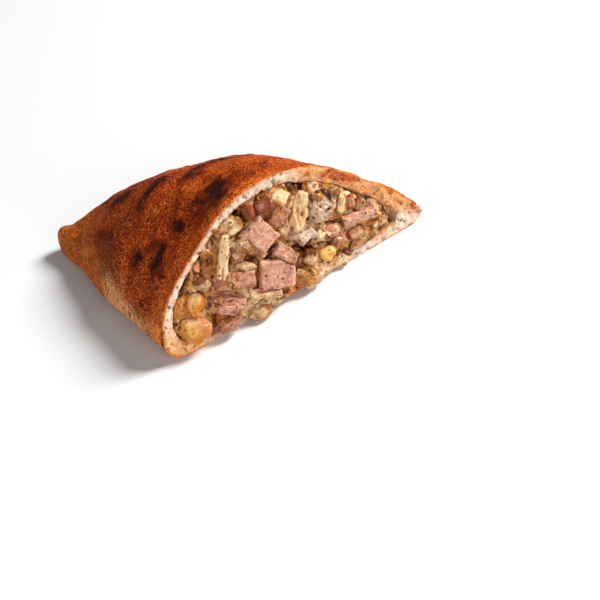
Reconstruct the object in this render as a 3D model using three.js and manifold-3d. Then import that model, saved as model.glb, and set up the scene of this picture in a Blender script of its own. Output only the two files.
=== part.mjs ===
// One half of a baked calzone, cut across and lying on its flat bottom: a folded disc of bread
// dough round a filling of diced ham, mushrooms and melted cheese.
//
// Millimetres, +Z up, table at z = 0. Inside the loaf group the cut is the plane y = 0 and looks
// along -Y, the fold of the dough is at -X, the sealed rim at +X, and the pointed corner, where
// fold and rim meet, lies towards +Y. The exported group centres the half over its origin.

import * as THREE from "three";
import { mergeVertices } from "three/addons/utils/BufferGeometryUtils.js";
import Module from "manifold-3d";

const wasm = await Module();
wasm.setup();

const { lerp, smoothstep, clamp, degToRad } = THREE.MathUtils;

// ---- Driving dimensions -------------------------------------------------------------------

const CUT_WIDTH = 153; // fold to sealed rim, along the cut
const CUT_HEIGHT = 68; // dome height at the cut
const CUT_LEAN = 5; // how far the foot of the cut runs forward of its top
const CUT_OFFSET = 38; // how far the cut lies from the middle of the fold
const RIM_RADIUS = Math.hypot(CUT_WIDTH, CUT_OFFSET); // of the half moon's curved rim
const HALF_LENGTH = 126; // cut to the tip of the corner
const NECK_HEIGHT = 17; // where the dome runs out into the blunt corner

const TOP_CRUST = 6; // wall of dough over the filling
const BOTTOM_CRUST = 5.5; // and under it
const FOLD_CRUST = 7.8; // at the fold
const SEALED_RIM = 15; // where both layers are pressed together
const GAP = 0.35; // clearance between touching pieces

const BULGE_DEPTH = 3.1; // how far the filling swells out of the cut
const BULGE_X = -10; // where it swells most
const BULGE_Z = 18;
const BULGE_HALF_WIDTH = 58; // how far from there it is flush with the cut
const BULGE_HALF_HEIGHT = 36;
const FILLING_SAG = 4; // how far it hangs down in front of the bottom crust
const CORE_CEILING = 2.5; // gap under the top crust
const HOLLOW_STEP = 4.35; // the step of the outline at which the filling ends

const LOOP_POINTS = 48; // round each section of the dough
const LOOP_SECTIONS = 26; // from the cut to the corner
const INNER_POINTS = 34; // round each section of the hollow
const INNER_SECTIONS = 9; // from the cut to the end of the hollow
const FRONT_CELL = 6.2; // mesh size of the filling's front
const FUSED_BITS = 30; // small bits fused to it
const OUTLINE_POINTS = 12; // round a flat piece
const SOFT_EDGE = 0.8; // rounding of a flat piece's edges
const LUMP_SWELL = 0.12; // unevenness of a lump, as a share of its radius
const FACE_UP = 20; // degrees by which the pieces face up out of the cut
const FACE_LEFT = 10; // and towards the fold

const FRONT_ROOM = 30; // clear space in front of the cut, more than any piece reaches out
const DEEP = 200; // longer than the half
const foldX = -CUT_WIDTH / 2;

// ---- Plan of the half moon ----------------------------------------------------------------

const rimStart = Math.atan2(CUT_OFFSET, CUT_WIDTH);
const rimEnd = degToRad(84.5);

// A point of the curved rim, from the cut (0) to the neck before the corner (1).
function rimPoint(share) {
  const angle = lerp(rimStart, rimEnd, share);
  return new THREE.Vector3(
    foldX + RIM_RADIUS * Math.cos(angle),
    RIM_RADIUS * Math.sin(angle) - CUT_OFFSET,
    0,
  );
}

// Along the fold, round the corner's blunt nose and back along the rim. The points pair up from
// both ends, and each section of the loaf joins such a pair.
const planOutline = new THREE.CatmullRomCurve3(
  [
    new THREE.Vector3(foldX - 1.5, 0, 0),
    new THREE.Vector3(foldX - 4, 28, 0),
    new THREE.Vector3(foldX - 4.5, 55, 0),
    new THREE.Vector3(foldX - 3, 80, 0),
    new THREE.Vector3(foldX - 1, 101, 0),
    new THREE.Vector3(foldX - 2, 114, 0),
    new THREE.Vector3(foldX - 1.5, HALF_LENGTH - 1, 0),
    new THREE.Vector3(foldX + 9, HALF_LENGTH - 2, 0),
    rimPoint(1),
    rimPoint(0.8),
    rimPoint(0.6),
    rimPoint(0.4),
    rimPoint(0.2),
    rimPoint(0),
  ],
  false,
  "centripetal",
);
const PAIRS = 6.5; // steps of the outline from the cut to the nose
const NECK = 5; // the step at which the dome has run out

// ---- Section of the dough -----------------------------------------------------------------

// Height of the dome at each step of the outline, from the cut to the neck.
const domeHeights = [CUT_HEIGHT, 61.5, 51.5, 40, 28, NECK_HEIGHT];

function domeHeight(step) {
  const before = Math.min(Math.floor(step), NECK - 1);
  const height = lerp(domeHeights[before], domeHeights[before + 1], Math.min(step - before, 1));
  return height * noseShare(step);
}

// Shrinks the last sections to a point, so that the corner ends in a round nose.
function noseShare(step) {
  const last = clamp((step - NECK) / (PAIRS - NECK), 0, 1);
  return Math.sqrt(1 - last * last);
}

// The upper outline of the section at the cut, from the fold to the sealed rim, as shares of the
// way across and of the dome's height.
const sectionTop = new THREE.CatmullRomCurve3(
  [
    [0, 0.17],
    [0.02, 0.34],
    [0.1, 0.57],
    [0.25, 0.84],
    [0.37, 0.97],
    [0.49, 1],
    [0.62, 0.935],
    [0.75, 0.745],
    [0.88, 0.455],
    [0.975, 0.21],
    [1, 0.09],
  ].map(([across, up]) => new THREE.Vector3(across, up, 0)),
  false,
  "centripetal",
);

// A section's outline at an angle: 0 is the rim, half a turn is the fold, the upper half is the top.
// Gives the share of the way from fold to rim, and of the dome's height.
function sectionPoint(angle, step) {
  const nose = smoothstep(step, NECK - 1.5, PAIRS);
  const round = { across: 0.5 + 0.5 * Math.cos(angle), up: 0.42 + 0.58 * Math.abs(Math.sin(angle)) };
  if (Math.sin(angle) >= 0) {
    const top = sectionTop.getPoint(1 - angle / Math.PI);
    return { across: lerp(top.x, round.across, nose), up: lerp(top.y, round.up, nose) };
  }
  const edge = lerp(lerp(0.17, 0.09, round.across), 0.42, nose);
  const under = edge * Math.max(0, 1 + Math.sin(angle) / 0.5) ** 1.6;
  return { across: round.across, up: under };
}

// Soft unevenness of hand-shaped dough, in millimetres along the surface's normal.
function unevenness(p) {
  const broad = Math.sin(p.x / 17 + 1.3) * Math.sin(p.y / 21 + 0.4) * 1.5;
  const middle = Math.sin(p.x / 8.1 - p.y / 11.3 + 2.1) * Math.sin(p.y / 9.2 + p.z / 12) * 0.6;
  return (broad + middle) * smoothstep(p.z, 2, 16);
}

// The cut leans back, because its foot sags forward.
function leanForward(p) {
  p.y -= CUT_LEAN * (1 - smoothstep(p.z, 0, 36)) * (1 - smoothstep(p.y, 0, 45));
  return p;
}

// The closed outline of the dough at a step, or that of its hollow when the walls are given.
function doughLoop(step, walls) {
  const t = step / (planOutline.points.length - 1);
  const fold = planOutline.getPoint(t);
  const rim = planOutline.getPoint(1 - t);
  const width = fold.distanceTo(rim);
  const height = domeHeight(step);
  const outward = new THREE.Vector3().subVectors(rim, fold).normalize();
  const count = walls ? INNER_POINTS : LOOP_POINTS;
  const loop = [];
  for (let i = 0; i < count; i++) {
    const angle = (i / count) * 2 * Math.PI;
    let { across, up } = sectionPoint(angle, step);
    if (walls) {
      across = (walls.fold + across * (width - walls.fold - walls.rim)) / width;
      up = (walls.bottom + up * (height - walls.bottom - walls.top)) / height;
    }
    const p = fold.clone().lerp(rim, across);
    p.z = up * height;
    if (!walls) {
      p.z += (1 - noseShare(step)) * NECK_HEIGHT * 0.4;
      const amount = unevenness(p);
      p.addScaledVector(outward, Math.cos(angle) * amount);
      p.z += Math.max(0, Math.sin(angle)) * amount;
    }
    loop.push(leanForward(p));
  }
  return loop;
}

// ---- Lofting, joining and cutting ---------------------------------------------------------

// A closed body through a row of loops, each end closed by a fan round its middle.
function loft(loops) {
  const count = loops[0].length;
  const positions = loops.flat().flatMap((p) => [p.x, p.y, p.z]);
  const triangles = [];
  const addFan = (loop, first, flip) => {
    const middle = loop.reduce((sum, p) => sum.add(p), new THREE.Vector3()).divideScalar(count);
    const hub = positions.length / 3;
    positions.push(middle.x, middle.y, middle.z);
    for (let i = 0; i < count; i++) {
      const next = (i + 1) % count;
      triangles.push(hub, first + (flip ? next : i), first + (flip ? i : next));
    }
  };
  for (let s = 0; s + 1 < loops.length; s++) {
    for (let i = 0; i < count; i++) {
      const next = (i + 1) % count;
      const [near, far] = [s * count, (s + 1) * count];
      triangles.push(near + i, far + i, near + next);
      triangles.push(near + next, far + i, far + next);
    }
  }
  addFan(loops[0], 0, false);
  addFan(loops.at(-1), (loops.length - 1) * count, true);
  const geometry = new THREE.BufferGeometry();
  geometry.setAttribute("position", new THREE.Float32BufferAttribute(positions, 3));
  geometry.setIndex(triangles);
  return geometry;
}

// A closed three.js geometry as a solid that can be joined and cut.
function solidFrom(geometry) {
  const plain = geometry.clone();
  plain.deleteAttribute("normal");
  plain.deleteAttribute("uv");
  const merged = mergeVertices(plain, 1e-4);
  return new wasm.Manifold(
    new wasm.Mesh({
      numProp: 3,
      vertProperties: new Float32Array(merged.getAttribute("position").array),
      triVerts: new Uint32Array(merged.index.array),
    }),
  );
}

// A solid as a named three.js mesh.
function meshFrom(solid, name, material) {
  const { vertProperties, triVerts } = solid.getMesh();
  const geometry = new THREE.BufferGeometry();
  geometry.setAttribute("position", new THREE.Float32BufferAttribute(vertProperties, 3));
  geometry.setIndex(new THREE.Uint32BufferAttribute(triVerts, 1));
  geometry.computeVertexNormals();
  const mesh = new THREE.Mesh(geometry, material);
  mesh.name = name;
  return mesh;
}

// Cutting can leave crumbs behind: only the largest body is kept.
function largestBody(solid) {
  return solid.decompose().sort((a, b) => b.volume() - a.volume())[0];
}

// Seeded random numbers from 0 to 1.
function randomFrom(seed) {
  let state = seed;
  return () => {
    state = (state * 1664525 + 1013904223) % 4294967296;
    return state / 4294967296;
  };
}

// ---- Crust --------------------------------------------------------------------------------

function outerDough() {
  const loops = [];
  for (let s = 0; s <= LOOP_SECTIONS; s++) {
    // Sections crowd towards the nose, where the outline turns fastest.
    const share = s / LOOP_SECTIONS;
    loops.push(doughLoop(PAIRS * 0.999 * (1 - (1 - share) ** 1.35)));
  }
  return solidFrom(loft(loops));
}

// The hollow inside the dough, run forward through the cut. A larger clearance makes it smaller,
// a ceiling leaves room under the top crust, and a sag deepens it at the cut.
function hollow(clearance, ceiling, sag) {
  const loops = [];
  for (let s = 0; s <= INNER_SECTIONS; s++) {
    const step = (HOLLOW_STEP - clearance * 0.04) * (s / INNER_SECTIONS);
    const end = Math.sqrt(1 - (s / INNER_SECTIONS) ** 6) * 0.75 + 0.25;
    const walls = {
      fold: FOLD_CRUST + clearance,
      rim: SEALED_RIM + clearance,
      top: TOP_CRUST + clearance + ceiling,
      bottom: BOTTOM_CRUST + clearance - (s === 0 ? sag : 0),
    };
    const loop = doughLoop(step, walls);
    const middle = loop.reduce((sum, p) => sum.add(p), new THREE.Vector3()).divideScalar(loop.length);
    loops.push(loop.map((p) => p.lerp(middle, 1 - end)));
  }
  const front = loops[0].map((p) => p.clone().add(new THREE.Vector3(0, -FRONT_ROOM, 0)));
  return solidFrom(loft([front, ...loops]));
}

// ---- Filling ------------------------------------------------------------------------------

// How far forward the filling swells at a place on the cut: most in the low middle, and least
// towards its ends.
function fillingFace(x, z) {
  const fromMiddle = ((x - BULGE_X) / BULGE_HALF_WIDTH) ** 2 + ((z - BULGE_Z) / BULGE_HALF_HEIGHT) ** 2;
  const cut = leanForward(new THREE.Vector3(x, 0, z)).y;
  return cut - BULGE_DEPTH * (1 - Math.min(fromMiddle, 1.4));
}

// Lumps of the filling between its larger pieces.
function fillingLumps(x, z) {
  const broad = Math.sin(x / 3.3 + 0.7) * Math.sin(z / 3.1 + x / 9);
  return 0.8 * broad + 0.5 * Math.sin(x / 2.1 - z / 2.7);
}

// Everything behind the filling's front, as one block with a lumpy face.
function behindFront() {
  const columns = Math.round((CUT_WIDTH + 20) / FRONT_CELL);
  const rows = Math.round((CUT_HEIGHT + 20) / FRONT_CELL);
  const block = new THREE.BoxGeometry(CUT_WIDTH + 20, CUT_HEIGHT + 20, DEEP, columns, rows, 1);
  block.rotateX(Math.PI / 2);
  block.translate(0, DEEP / 2, CUT_HEIGHT / 2);
  const position = block.getAttribute("position");
  for (let i = 0; i < position.count; i++) {
    const [x, z] = [position.getX(i), position.getZ(i)];
    if (position.getY(i) < DEEP / 2) position.setY(i, fillingFace(x, z) + fillingLumps(x, z));
  }
  return solidFrom(block);
}

// Small bits of ham, mushroom and cheese, grown together with the front of the filling.
function fusedBits() {
  const random = randomFrom(71);
  const bits = [];
  for (let i = 0; i < FUSED_BITS; i++) {
    const bit = new THREE.IcosahedronGeometry(1, 0);
    bit.scale(lerp(2.2, 4.2, random()), lerp(1.6, 2.6, random()), lerp(1.8, 3.2, random()));
    bit.rotateX(random() * Math.PI);
    bit.rotateZ(random() * Math.PI);
    const x = lerp(foldX + 14, -foldX - 22, random());
    const ceiling = (CUT_HEIGHT - 16) * Math.min(1, (-foldX - x) / 70) * Math.min(1, (x - foldX) / 45);
    const z = lerp(BOTTOM_CRUST + 4, Math.max(BOTTOM_CRUST + 6, ceiling), random());
    bit.translate(x, fillingFace(x, z), z);
    bits.push(solidFrom(bit));
  }
  return wasm.Manifold.union(bits);
}

// Where the filling and its pieces may be: inside the hollow, or free in front of the cut.
function allowedSpace() {
  const profile = [new THREE.Vector2(-FRONT_ROOM, GAP), new THREE.Vector2(-FRONT_ROOM, CUT_HEIGHT)];
  for (let z = 40; z >= 0; z -= 4) {
    const foot = leanForward(new THREE.Vector3(0, 0, z));
    profile.push(new THREE.Vector2(foot.y - GAP, Math.max(z, GAP)));
  }
  const shape = new THREE.Shape(profile.reverse());
  const slab = new THREE.ExtrudeGeometry(shape, { depth: 2 * CUT_WIDTH, bevelEnabled: false });
  slab.applyMatrix4(new THREE.Matrix4().set(0, 0, 1, -CUT_WIDTH, 1, 0, 0, 0, 0, 1, 0, 0, 0, 0, 0, 1));
  return hollow(GAP, 0, 0).add(solidFrom(slab));
}

// ---- Pieces seen in the cut ---------------------------------------------------------------

// A flat piece with a soft edge, bent over its width. Grown on every side, it keeps sharp edges.
function flatShape({ outline, size: [width, height, thickness], bend = 0.6 }, random, grow) {
  const points = [];
  for (let i = 0; i < OUTLINE_POINTS; i++) {
    const wobble = lerp(0.93, 1.05, random());
    const p = outline((i / OUTLINE_POINTS) * 2 * Math.PI).multiplyScalar(wobble);
    points.push(p.multiply(new THREE.Vector2(width, height)));
  }
  const outwards = points.map((p, i) => {
    const along = points[(i + 1) % points.length].clone().sub(points.at(i - 1));
    return new THREE.Vector2(along.y, -along.x).normalize();
  });
  const soft = Math.min(SOFT_EDGE, thickness / 4);
  const softLevels = [
    [0.5, -soft],
    [0.5 - soft / thickness, 0],
    [-0.5 + soft / thickness, 0],
    [-0.5, -soft],
  ];
  const sharpLevels = [
    [0.5, 0],
    [-0.5, 0],
  ];
  const levels = grow > 0 ? sharpLevels : softLevels;
  const loops = levels.map(([level, inset]) =>
    points.map((p, i) => {
      const flat = p.clone().addScaledVector(outwards[i], inset + grow);
      const curl = bend * ((2 * flat.x) / width) ** 2;
      return new THREE.Vector3(flat.x, flat.y, level * (thickness + 2 * grow) - curl);
    }),
  );
  return loft(loops);
}

// A rounded lump with an uneven surface.
function lumpShape({ size: [width, height, thickness] }, random, grow) {
  const phase = random() * 2 * Math.PI;
  const lump = mergeVertices(new THREE.IcosahedronGeometry(1, 1).deleteAttribute("uv"), 1e-4);
  const position = lump.getAttribute("position");
  const p = new THREE.Vector3();
  for (let i = 0; i < position.count; i++) {
    p.fromBufferAttribute(position, i);
    const swell = Math.sin(p.x * 3.1 + phase) * Math.sin(p.y * 3.7 + 2 * phase);
    const radius = 1 + LUMP_SWELL * (swell + 0.6 * Math.sin(p.z * 5 - phase));
    const half = new THREE.Vector3(width, height, thickness).multiplyScalar(radius / 2);
    p.multiply(half.addScalar(grow));
    position.setXYZ(i, p.x, p.y, p.z);
  }
  return lump;
}

// A rolled slice: a bar with a shallow dent in each round end.
function rollShape({ size: [length, width, thickness] }, random, grow) {
  const stations = [
    [0.46, 0.55],
    [0.5, 0.85],
    [0.47, 1],
    [0.16, lerp(0.92, 1, random())],
    [-0.16, lerp(0.96, 1.04, random())],
    [-0.47, 1],
    [-0.5, 0.85],
    [-0.46, 0.55],
  ];
  const loops = stations.map(([along, share]) => {
    const loop = [];
    for (let i = 0; i < OUTLINE_POINTS; i++) {
      const angle = (i / OUTLINE_POINTS) * 2 * Math.PI;
      const across = Math.cos(angle) * ((width / 2) * share + grow);
      const up = Math.sin(angle) * ((thickness / 2) * share + grow);
      loop.push(new THREE.Vector3(along * (length + 2 * grow), across, up));
    }
    return loop;
  });
  return loft(loops);
}

// Outlines of flat pieces, one unit wide and one high, at an angle round their middle.
const diced = (angle) => roundedSquare(angle, 0.34);
const shred = (angle) => roundedSquare(angle, 0.62);
const disc = (angle) => roundedSquare(angle, 1);

function roundedSquare(angle, power) {
  const soften = (share) => (Math.sign(share) * Math.abs(share) ** power) / 2;
  return new THREE.Vector2(soften(Math.cos(angle)), soften(Math.sin(angle)));
}

// A mushroom cut lengthwise: an arched cap over a short stem.
function mushroomSlice(angle) {
  const stem = Math.exp(-(((angle - 1.5 * Math.PI) / 0.42) ** 2));
  const cap = 0.36 + 0.64 * smoothstep(Math.sin(angle), -0.45, 0.05);
  return new THREE.Vector2(Math.cos(angle) / 2, (Math.sin(angle) / 2) * Math.max(cap, stem));
}

const food = {
  ham: { color: 0xd6a095, roughness: 0.5 },
  cookedHam: { color: 0xb9877a, roughness: 0.6 },
  mushroom: { color: 0xb3a68f, roughness: 0.6 },
  onion: { color: 0xe3d3a8, roughness: 0.4 },
  cheese: { color: 0xe9dcae, roughness: 0.35 },
  amberCheese: { color: 0xd79a3c, roughness: 0.35 },
};

// Each piece has its size, the place of its middle across and up the cut, how far that lies out
// of the filling's face, and its turn: a spin in the face, then a tip and a swing out of it.
function flat(name, color, outline, place) {
  return { name, color, shape: flatShape, outline, ...place };
}
function lump(name, color, place) {
  return { name, color, shape: lumpShape, ...place };
}
function roll(name, color, place) {
  return { name, color, shape: rollShape, ...place };
}

// Pieces listed first keep their full form; those after them are pressed against them.
const pieces = [
  roll("ham_roll", food.ham, { size: [18.5, 6.5, 5.5], at: [39, 23], out: 2.5, turn: [-5, 0, 0] }),
  flat("ham_cube", food.ham, diced, { size: [16.5, 12, 9], at: [-14, 42], out: 0, turn: [-60, -6, 14] }),
  flat("mushroom_slice", food.mushroom, mushroomSlice, {
    size: [15, 9.5, 5],
    at: [6, 31],
    out: 3.5,
    turn: [-20, -24, 0],
  }),
  flat("ham_folded", food.ham, diced, {
    size: [14, 7, 4],
    at: [-5, 27],
    out: 4,
    turn: [-50, -22, 14],
    bend: 1.6,
  }),
  flat("ham_large", food.ham, diced, { size: [19.5, 15, 5], at: [-13, 20], out: 3, turn: [-15, 4, 6] }),
  flat("cheese_slab", food.cheese, diced, {
    size: [16.5, 5.5, 5],
    at: [-22, 13],
    out: 2,
    turn: [-15, -30, 0],
  }),
  flat("ham_strip", food.ham, diced, { size: [22, 7.5, 6], at: [-35, 27], out: 2, turn: [-15, -22, -4] }),
  flat("mushroom_edge", food.mushroom, mushroomSlice, {
    size: [12, 5, 4],
    at: [-27, 31],
    out: 2.5,
    turn: [-25, -30, 0],
  }),
  flat("onion_long", food.onion, shred, {
    size: [5.5, 24, 3.5],
    at: [-36, 42],
    out: 3,
    turn: [-25, 0, -14],
  }),
  lump("cheese_curl", food.cheese, { size: [17, 14.5, 11], at: [-61, 12], out: 0, turn: [-30, -6, -6] }),
  lump("cheese_lumps", food.cheese, { size: [9, 8.5, 7], at: [16, 14], out: 1, turn: [-20, -10, 0] }),
  flat("ham_chip", food.ham, diced, { size: [6.5, 6.5, 3.5], at: [25, 18], out: 2, turn: [10, 0, 10] }),
  flat("onion_a", food.onion, shred, { size: [4.5, 9.5, 3], at: [32, 34], out: 2, turn: [-25, 0, -12] }),
  flat("onion_b", food.onion, shred, { size: [4, 8, 3], at: [38, 32], out: 2, turn: [-10, 0, -8] }),
  flat("onion_c", food.onion, shred, { size: [3.5, 8.5, 3], at: [41, 28], out: 2, turn: [-25, 0, 10] }),
  lump("mushroom_cap", food.mushroom, { size: [15.5, 18, 8], at: [21, 39], out: 1, turn: [-30, -4, 8] }),
  flat("cheese_drape", food.cheese, shred, {
    size: [8, 19.5, 6],
    at: [9, 43],
    out: 1,
    turn: [-30, 0, -6],
    bend: 1.2,
  }),
  flat("cheese_lit", food.cheese, diced, { size: [9.5, 7.5, 4.5], at: [2, 55], out: 1, turn: [-45, -22, 0] }),
  flat("ham_disc", food.cookedHam, disc, { size: [6, 8, 4], at: [-16, 56], out: 1, turn: [-10, 0, -24] }),
  flat("ham_top", food.ham, diced, { size: [9.5, 7, 5], at: [-7, 55], out: 0.5, turn: [0, -16, -12] }),
  flat("onion_brown", food.onion, shred, { size: [10.5, 6, 3.5], at: [35, 16], out: 2, turn: [10, -20, 0] }),
  flat("mushroom_bit", food.mushroom, mushroomSlice, {
    size: [6.5, 8, 4.5],
    at: [-24, 44],
    out: 2.5,
    turn: [20, -8, 6],
  }),
  flat("ham_amber", food.cookedHam, diced, { size: [9.5, 9.5, 5], at: [-2, 46], out: 1, turn: [-40, -8, 8] }),
  flat("mushroom_tan", food.mushroom, diced, {
    size: [7.5, 7.5, 5],
    at: [7, 18],
    out: 1.5,
    turn: [-30, -10, 0],
  }),
  lump("ham_bits", food.cookedHam, { size: [12, 7, 5], at: [21, 24], out: 1, turn: [-15, -8, 0] }),
  lump("mushroom_end", food.mushroom, { size: [9.5, 7, 5], at: [-50, 33], out: 1, turn: [-35, -10, 0] }),
  lump("cheese_melted", food.cheese, { size: [8, 10, 5], at: [-25, 53], out: 1, turn: [-50, 0, -8] }),
  lump("cheese_bit", food.cheese, { size: [7, 6.5, 5], at: [-28, 37], out: 1, turn: [-10, 0, 0] }),
  lump("ham_crumbled", food.cookedHam, { size: [19, 12, 10], at: [-41, 17], out: 0, turn: [-30, -6, 0] }),
  lump("cheese_amber", food.amberCheese, { size: [10, 14, 7], at: [-56, 24], out: 0, turn: [-15, 0, -18] }),
  lump("cheese_white", food.cheese, { size: [17, 13, 8], at: [4, 8], out: 0.5, turn: [0, -6, 0] }),
  lump("ham_layers", food.cookedHam, { size: [15.5, 9.5, 9], at: [-45, 7], out: 0, turn: [0, -10, 0] }),
  lump("cheese_under", food.cheese, { size: [15.5, 10, 9], at: [-26, 5], out: 0, turn: [10, -6, 0] }),
];

// A piece at its place, grown on every side by the given amount.
function placed(piece, grow) {
  const solid = solidFrom(piece.shape(piece, randomFrom(pieces.indexOf(piece) + 1), grow));
  const [spin, tip, swing] = piece.turn.map(degToRad);
  const [x, z] = piece.at;
  const turned = new THREE.Matrix4()
    .makeTranslation(x, fillingFace(x, z) - piece.out, z)
    .multiply(new THREE.Matrix4().makeRotationZ(degToRad(-FACE_LEFT)))
    .multiply(new THREE.Matrix4().makeRotationX(degToRad(90 - FACE_UP)))
    .multiply(new THREE.Matrix4().makeRotationZ(spin))
    .multiply(new THREE.Matrix4().makeRotationX(tip))
    .multiply(new THREE.Matrix4().makeRotationY(swing));
  return solid.transform(turned.elements);
}

// ---- Assembly -----------------------------------------------------------------------------

function material({ color, roughness }) {
  return new THREE.MeshStandardMaterial({ color, roughness, metalness: 0 });
}

const loaf = new THREE.Group();
loaf.add(
  meshFrom(
    largestBody(outerDough().subtract(hollow(0, 0, 0))),
    "crust",
    material({ color: 0xb5652b, roughness: 0.75 }),
  ),
);

const space = allowedSpace();
let taken = null;
for (const piece of pieces) {
  let solid = placed(piece, 0).intersect(space);
  if (taken) solid = solid.subtract(taken);
  const pocket = placed(piece, GAP);
  taken = taken ? taken.add(pocket) : pocket;
  loaf.add(meshFrom(largestBody(solid), piece.name, material(piece.color)));
}

const heaped = hollow(2 * GAP, CORE_CEILING, FILLING_SAG);
const core = heaped.intersect(space).intersect(behindFront());
const heap = core.add(fusedBits().intersect(hollow(2 * GAP, 0, 0)));
loaf.add(
  meshFrom(largestBody(heap.subtract(taken)), "filling", material({ color: 0xcfb083, roughness: 0.5 })),
);

// The half stands on z = 0 with its box centred over the origin.
const box = new THREE.Box3().setFromObject(loaf);
const middle = box.getCenter(new THREE.Vector3());
loaf.position.set(-middle.x, -middle.y, -box.min.z);

const calzone = new THREE.Group();
calzone.name = "calzone";
calzone.add(loaf);
export default calzone;
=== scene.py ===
import math

import bmesh
import bpy
import numpy as np
from mathutils import Matrix, Vector
from mathutils.bvhtree import BVHTree
from mathutils.kdtree import KDTree


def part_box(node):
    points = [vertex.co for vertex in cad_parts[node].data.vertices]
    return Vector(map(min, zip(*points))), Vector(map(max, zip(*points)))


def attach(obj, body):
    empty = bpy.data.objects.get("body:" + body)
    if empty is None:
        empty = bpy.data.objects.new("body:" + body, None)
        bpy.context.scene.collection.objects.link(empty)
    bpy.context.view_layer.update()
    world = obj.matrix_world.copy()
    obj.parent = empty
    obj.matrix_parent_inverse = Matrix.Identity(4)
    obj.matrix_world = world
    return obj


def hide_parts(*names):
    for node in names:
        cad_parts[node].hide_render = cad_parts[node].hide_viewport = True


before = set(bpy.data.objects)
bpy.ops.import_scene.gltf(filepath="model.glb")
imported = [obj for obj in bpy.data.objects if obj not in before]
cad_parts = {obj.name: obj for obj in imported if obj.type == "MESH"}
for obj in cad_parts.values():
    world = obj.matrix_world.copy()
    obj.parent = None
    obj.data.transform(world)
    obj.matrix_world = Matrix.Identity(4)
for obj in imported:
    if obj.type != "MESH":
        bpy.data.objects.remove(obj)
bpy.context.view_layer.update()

bl_info = {
    "name": "Calzone half",
    "version": (1, 0, 0),
    "blender": (4, 5, 0),
    "location": "3D View > Sidebar > Calzone",
    "description": "Dresses the solids of a cut calzone as baked dough round ham, mushroom, onion and cheese",
    "category": "Object",
}

BODY = "root"
MM = 0.001
# How many scorched spots lie on the back, and how many bubbles the crumb has.
HIDDEN_SPOTS = 26
PORES = 420
# The pepper and herbs that are ground too fine to be modelled.
GROUND_SPECK = (0.15, 0.12, 0.07)

# The cut is the plane y = CUT_Y. Below CUT_LEAN_TOP it leans forward by up to CUT_LEAN.
CUT_Y = -56.4 * MM
CUT_LEAN = 5 * MM
CUT_LEAN_TOP = 36 * MM
# The fold's side of the crust begins between these two distances to the left, in mm.
FOLD = (44, 62)
# Stretches noise along the cut.
ALONG_CUT = (0.4, 1, 1)
# How far behind the cut the filling is chopped and sprinkled.
FRONT_DEPTH = 6 * MM
# From the filling towards whoever looks at the cut.
SIGHT = Vector((0.0, -1.0, 0.55)).normalized()
# Half the width of the square floor, in metres.
FLOOR_HALF = 3.0

HAM = {
    # piece: (share of pink, share of browning, how crumbly, how far its corners are drawn out in mm)
    "ham_cube": (0.85, 0.05, 0.08, 1.2),
    "ham_large": (0.98, 0.10, 0.03, 1.5),
    "ham_folded": (0.30, 0.32, 0.12, 0.9),
    "ham_strip": (0.45, 0.50, 0.25, 0.6),
    "ham_roll": (0.75, 0.20, 0.05, 0.0),
    "ham_chip": (0.65, 0.30, 0.45, 0.5),
    "ham_bits": (0.65, 0.20, 0.80, 0.0),
    "ham_top": (0.40, 0.90, 0.30, 0.6),
    "ham_disc": (0.30, 1.15, 0.20, 0.0),
    "ham_amber": (0.25, 0.60, 0.35, 0.5),
    "ham_crumbled": (0.75, 0.15, 0.90, 0.0),
    "ham_layers": (0.50, 0.55, 0.70, 0.0),
}

MUSHROOM = {
    # piece: (share of grey, share of brown skin, how crinkled)
    "mushroom_slice": (0.95, 0.30, 0.35),
    "mushroom_edge": (0.20, 0.35, 0.25),
    "mushroom_cap": (0.80, 0.62, 1.10),
    "mushroom_bit": (0.25, 0.45, 0.45),
    "mushroom_tan": (0.05, 0.95, 0.50),
    "mushroom_end": (0.15, 1.30, 0.60),
}
# Where the dark gills of the mushroom cap show, given like the patches below.
GILLS = ((26, 48), (30, 43), 3.2, 1.00)

ONION = {
    # piece: share of browning
    "onion_long": 0.05,
    "onion_a": 0.15,
    "onion_b": 1.00,
    "onion_c": 1.20,
    "onion_brown": 1.30,
}

CHEESE = {
    # piece: (share of yellow, share of orange oil, share of dull clear parts, lumps in mm, share of herbs)
    "cheese_curl": (0.85, 0.80, 0.45, 0.30, 0.20),
    "cheese_lumps": (0.60, 0.15, 0.00, 0.90, 0.00),
    "cheese_slab": (0.05, 0.05, 0.45, 0.25, 0.20),
    "cheese_drape": (0.05, 0.10, 0.15, 0.75, 0.45),
    "cheese_lit": (0.00, 0.20, 0.15, 0.50, 0.15),
    "cheese_melted": (0.20, 0.45, 1.50, 0.40, 0.30),
    "cheese_bit": (0.15, 0.40, 0.80, 0.60, 0.80),
    "cheese_amber": (0.75, 0.90, 0.00, 0.50, 0.10),
    "cheese_white": (0.05, 0.25, 0.60, 0.55, 0.80),
    "cheese_under": (0.30, 0.40, 0.75, 0.45, 0.20),
}

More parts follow.
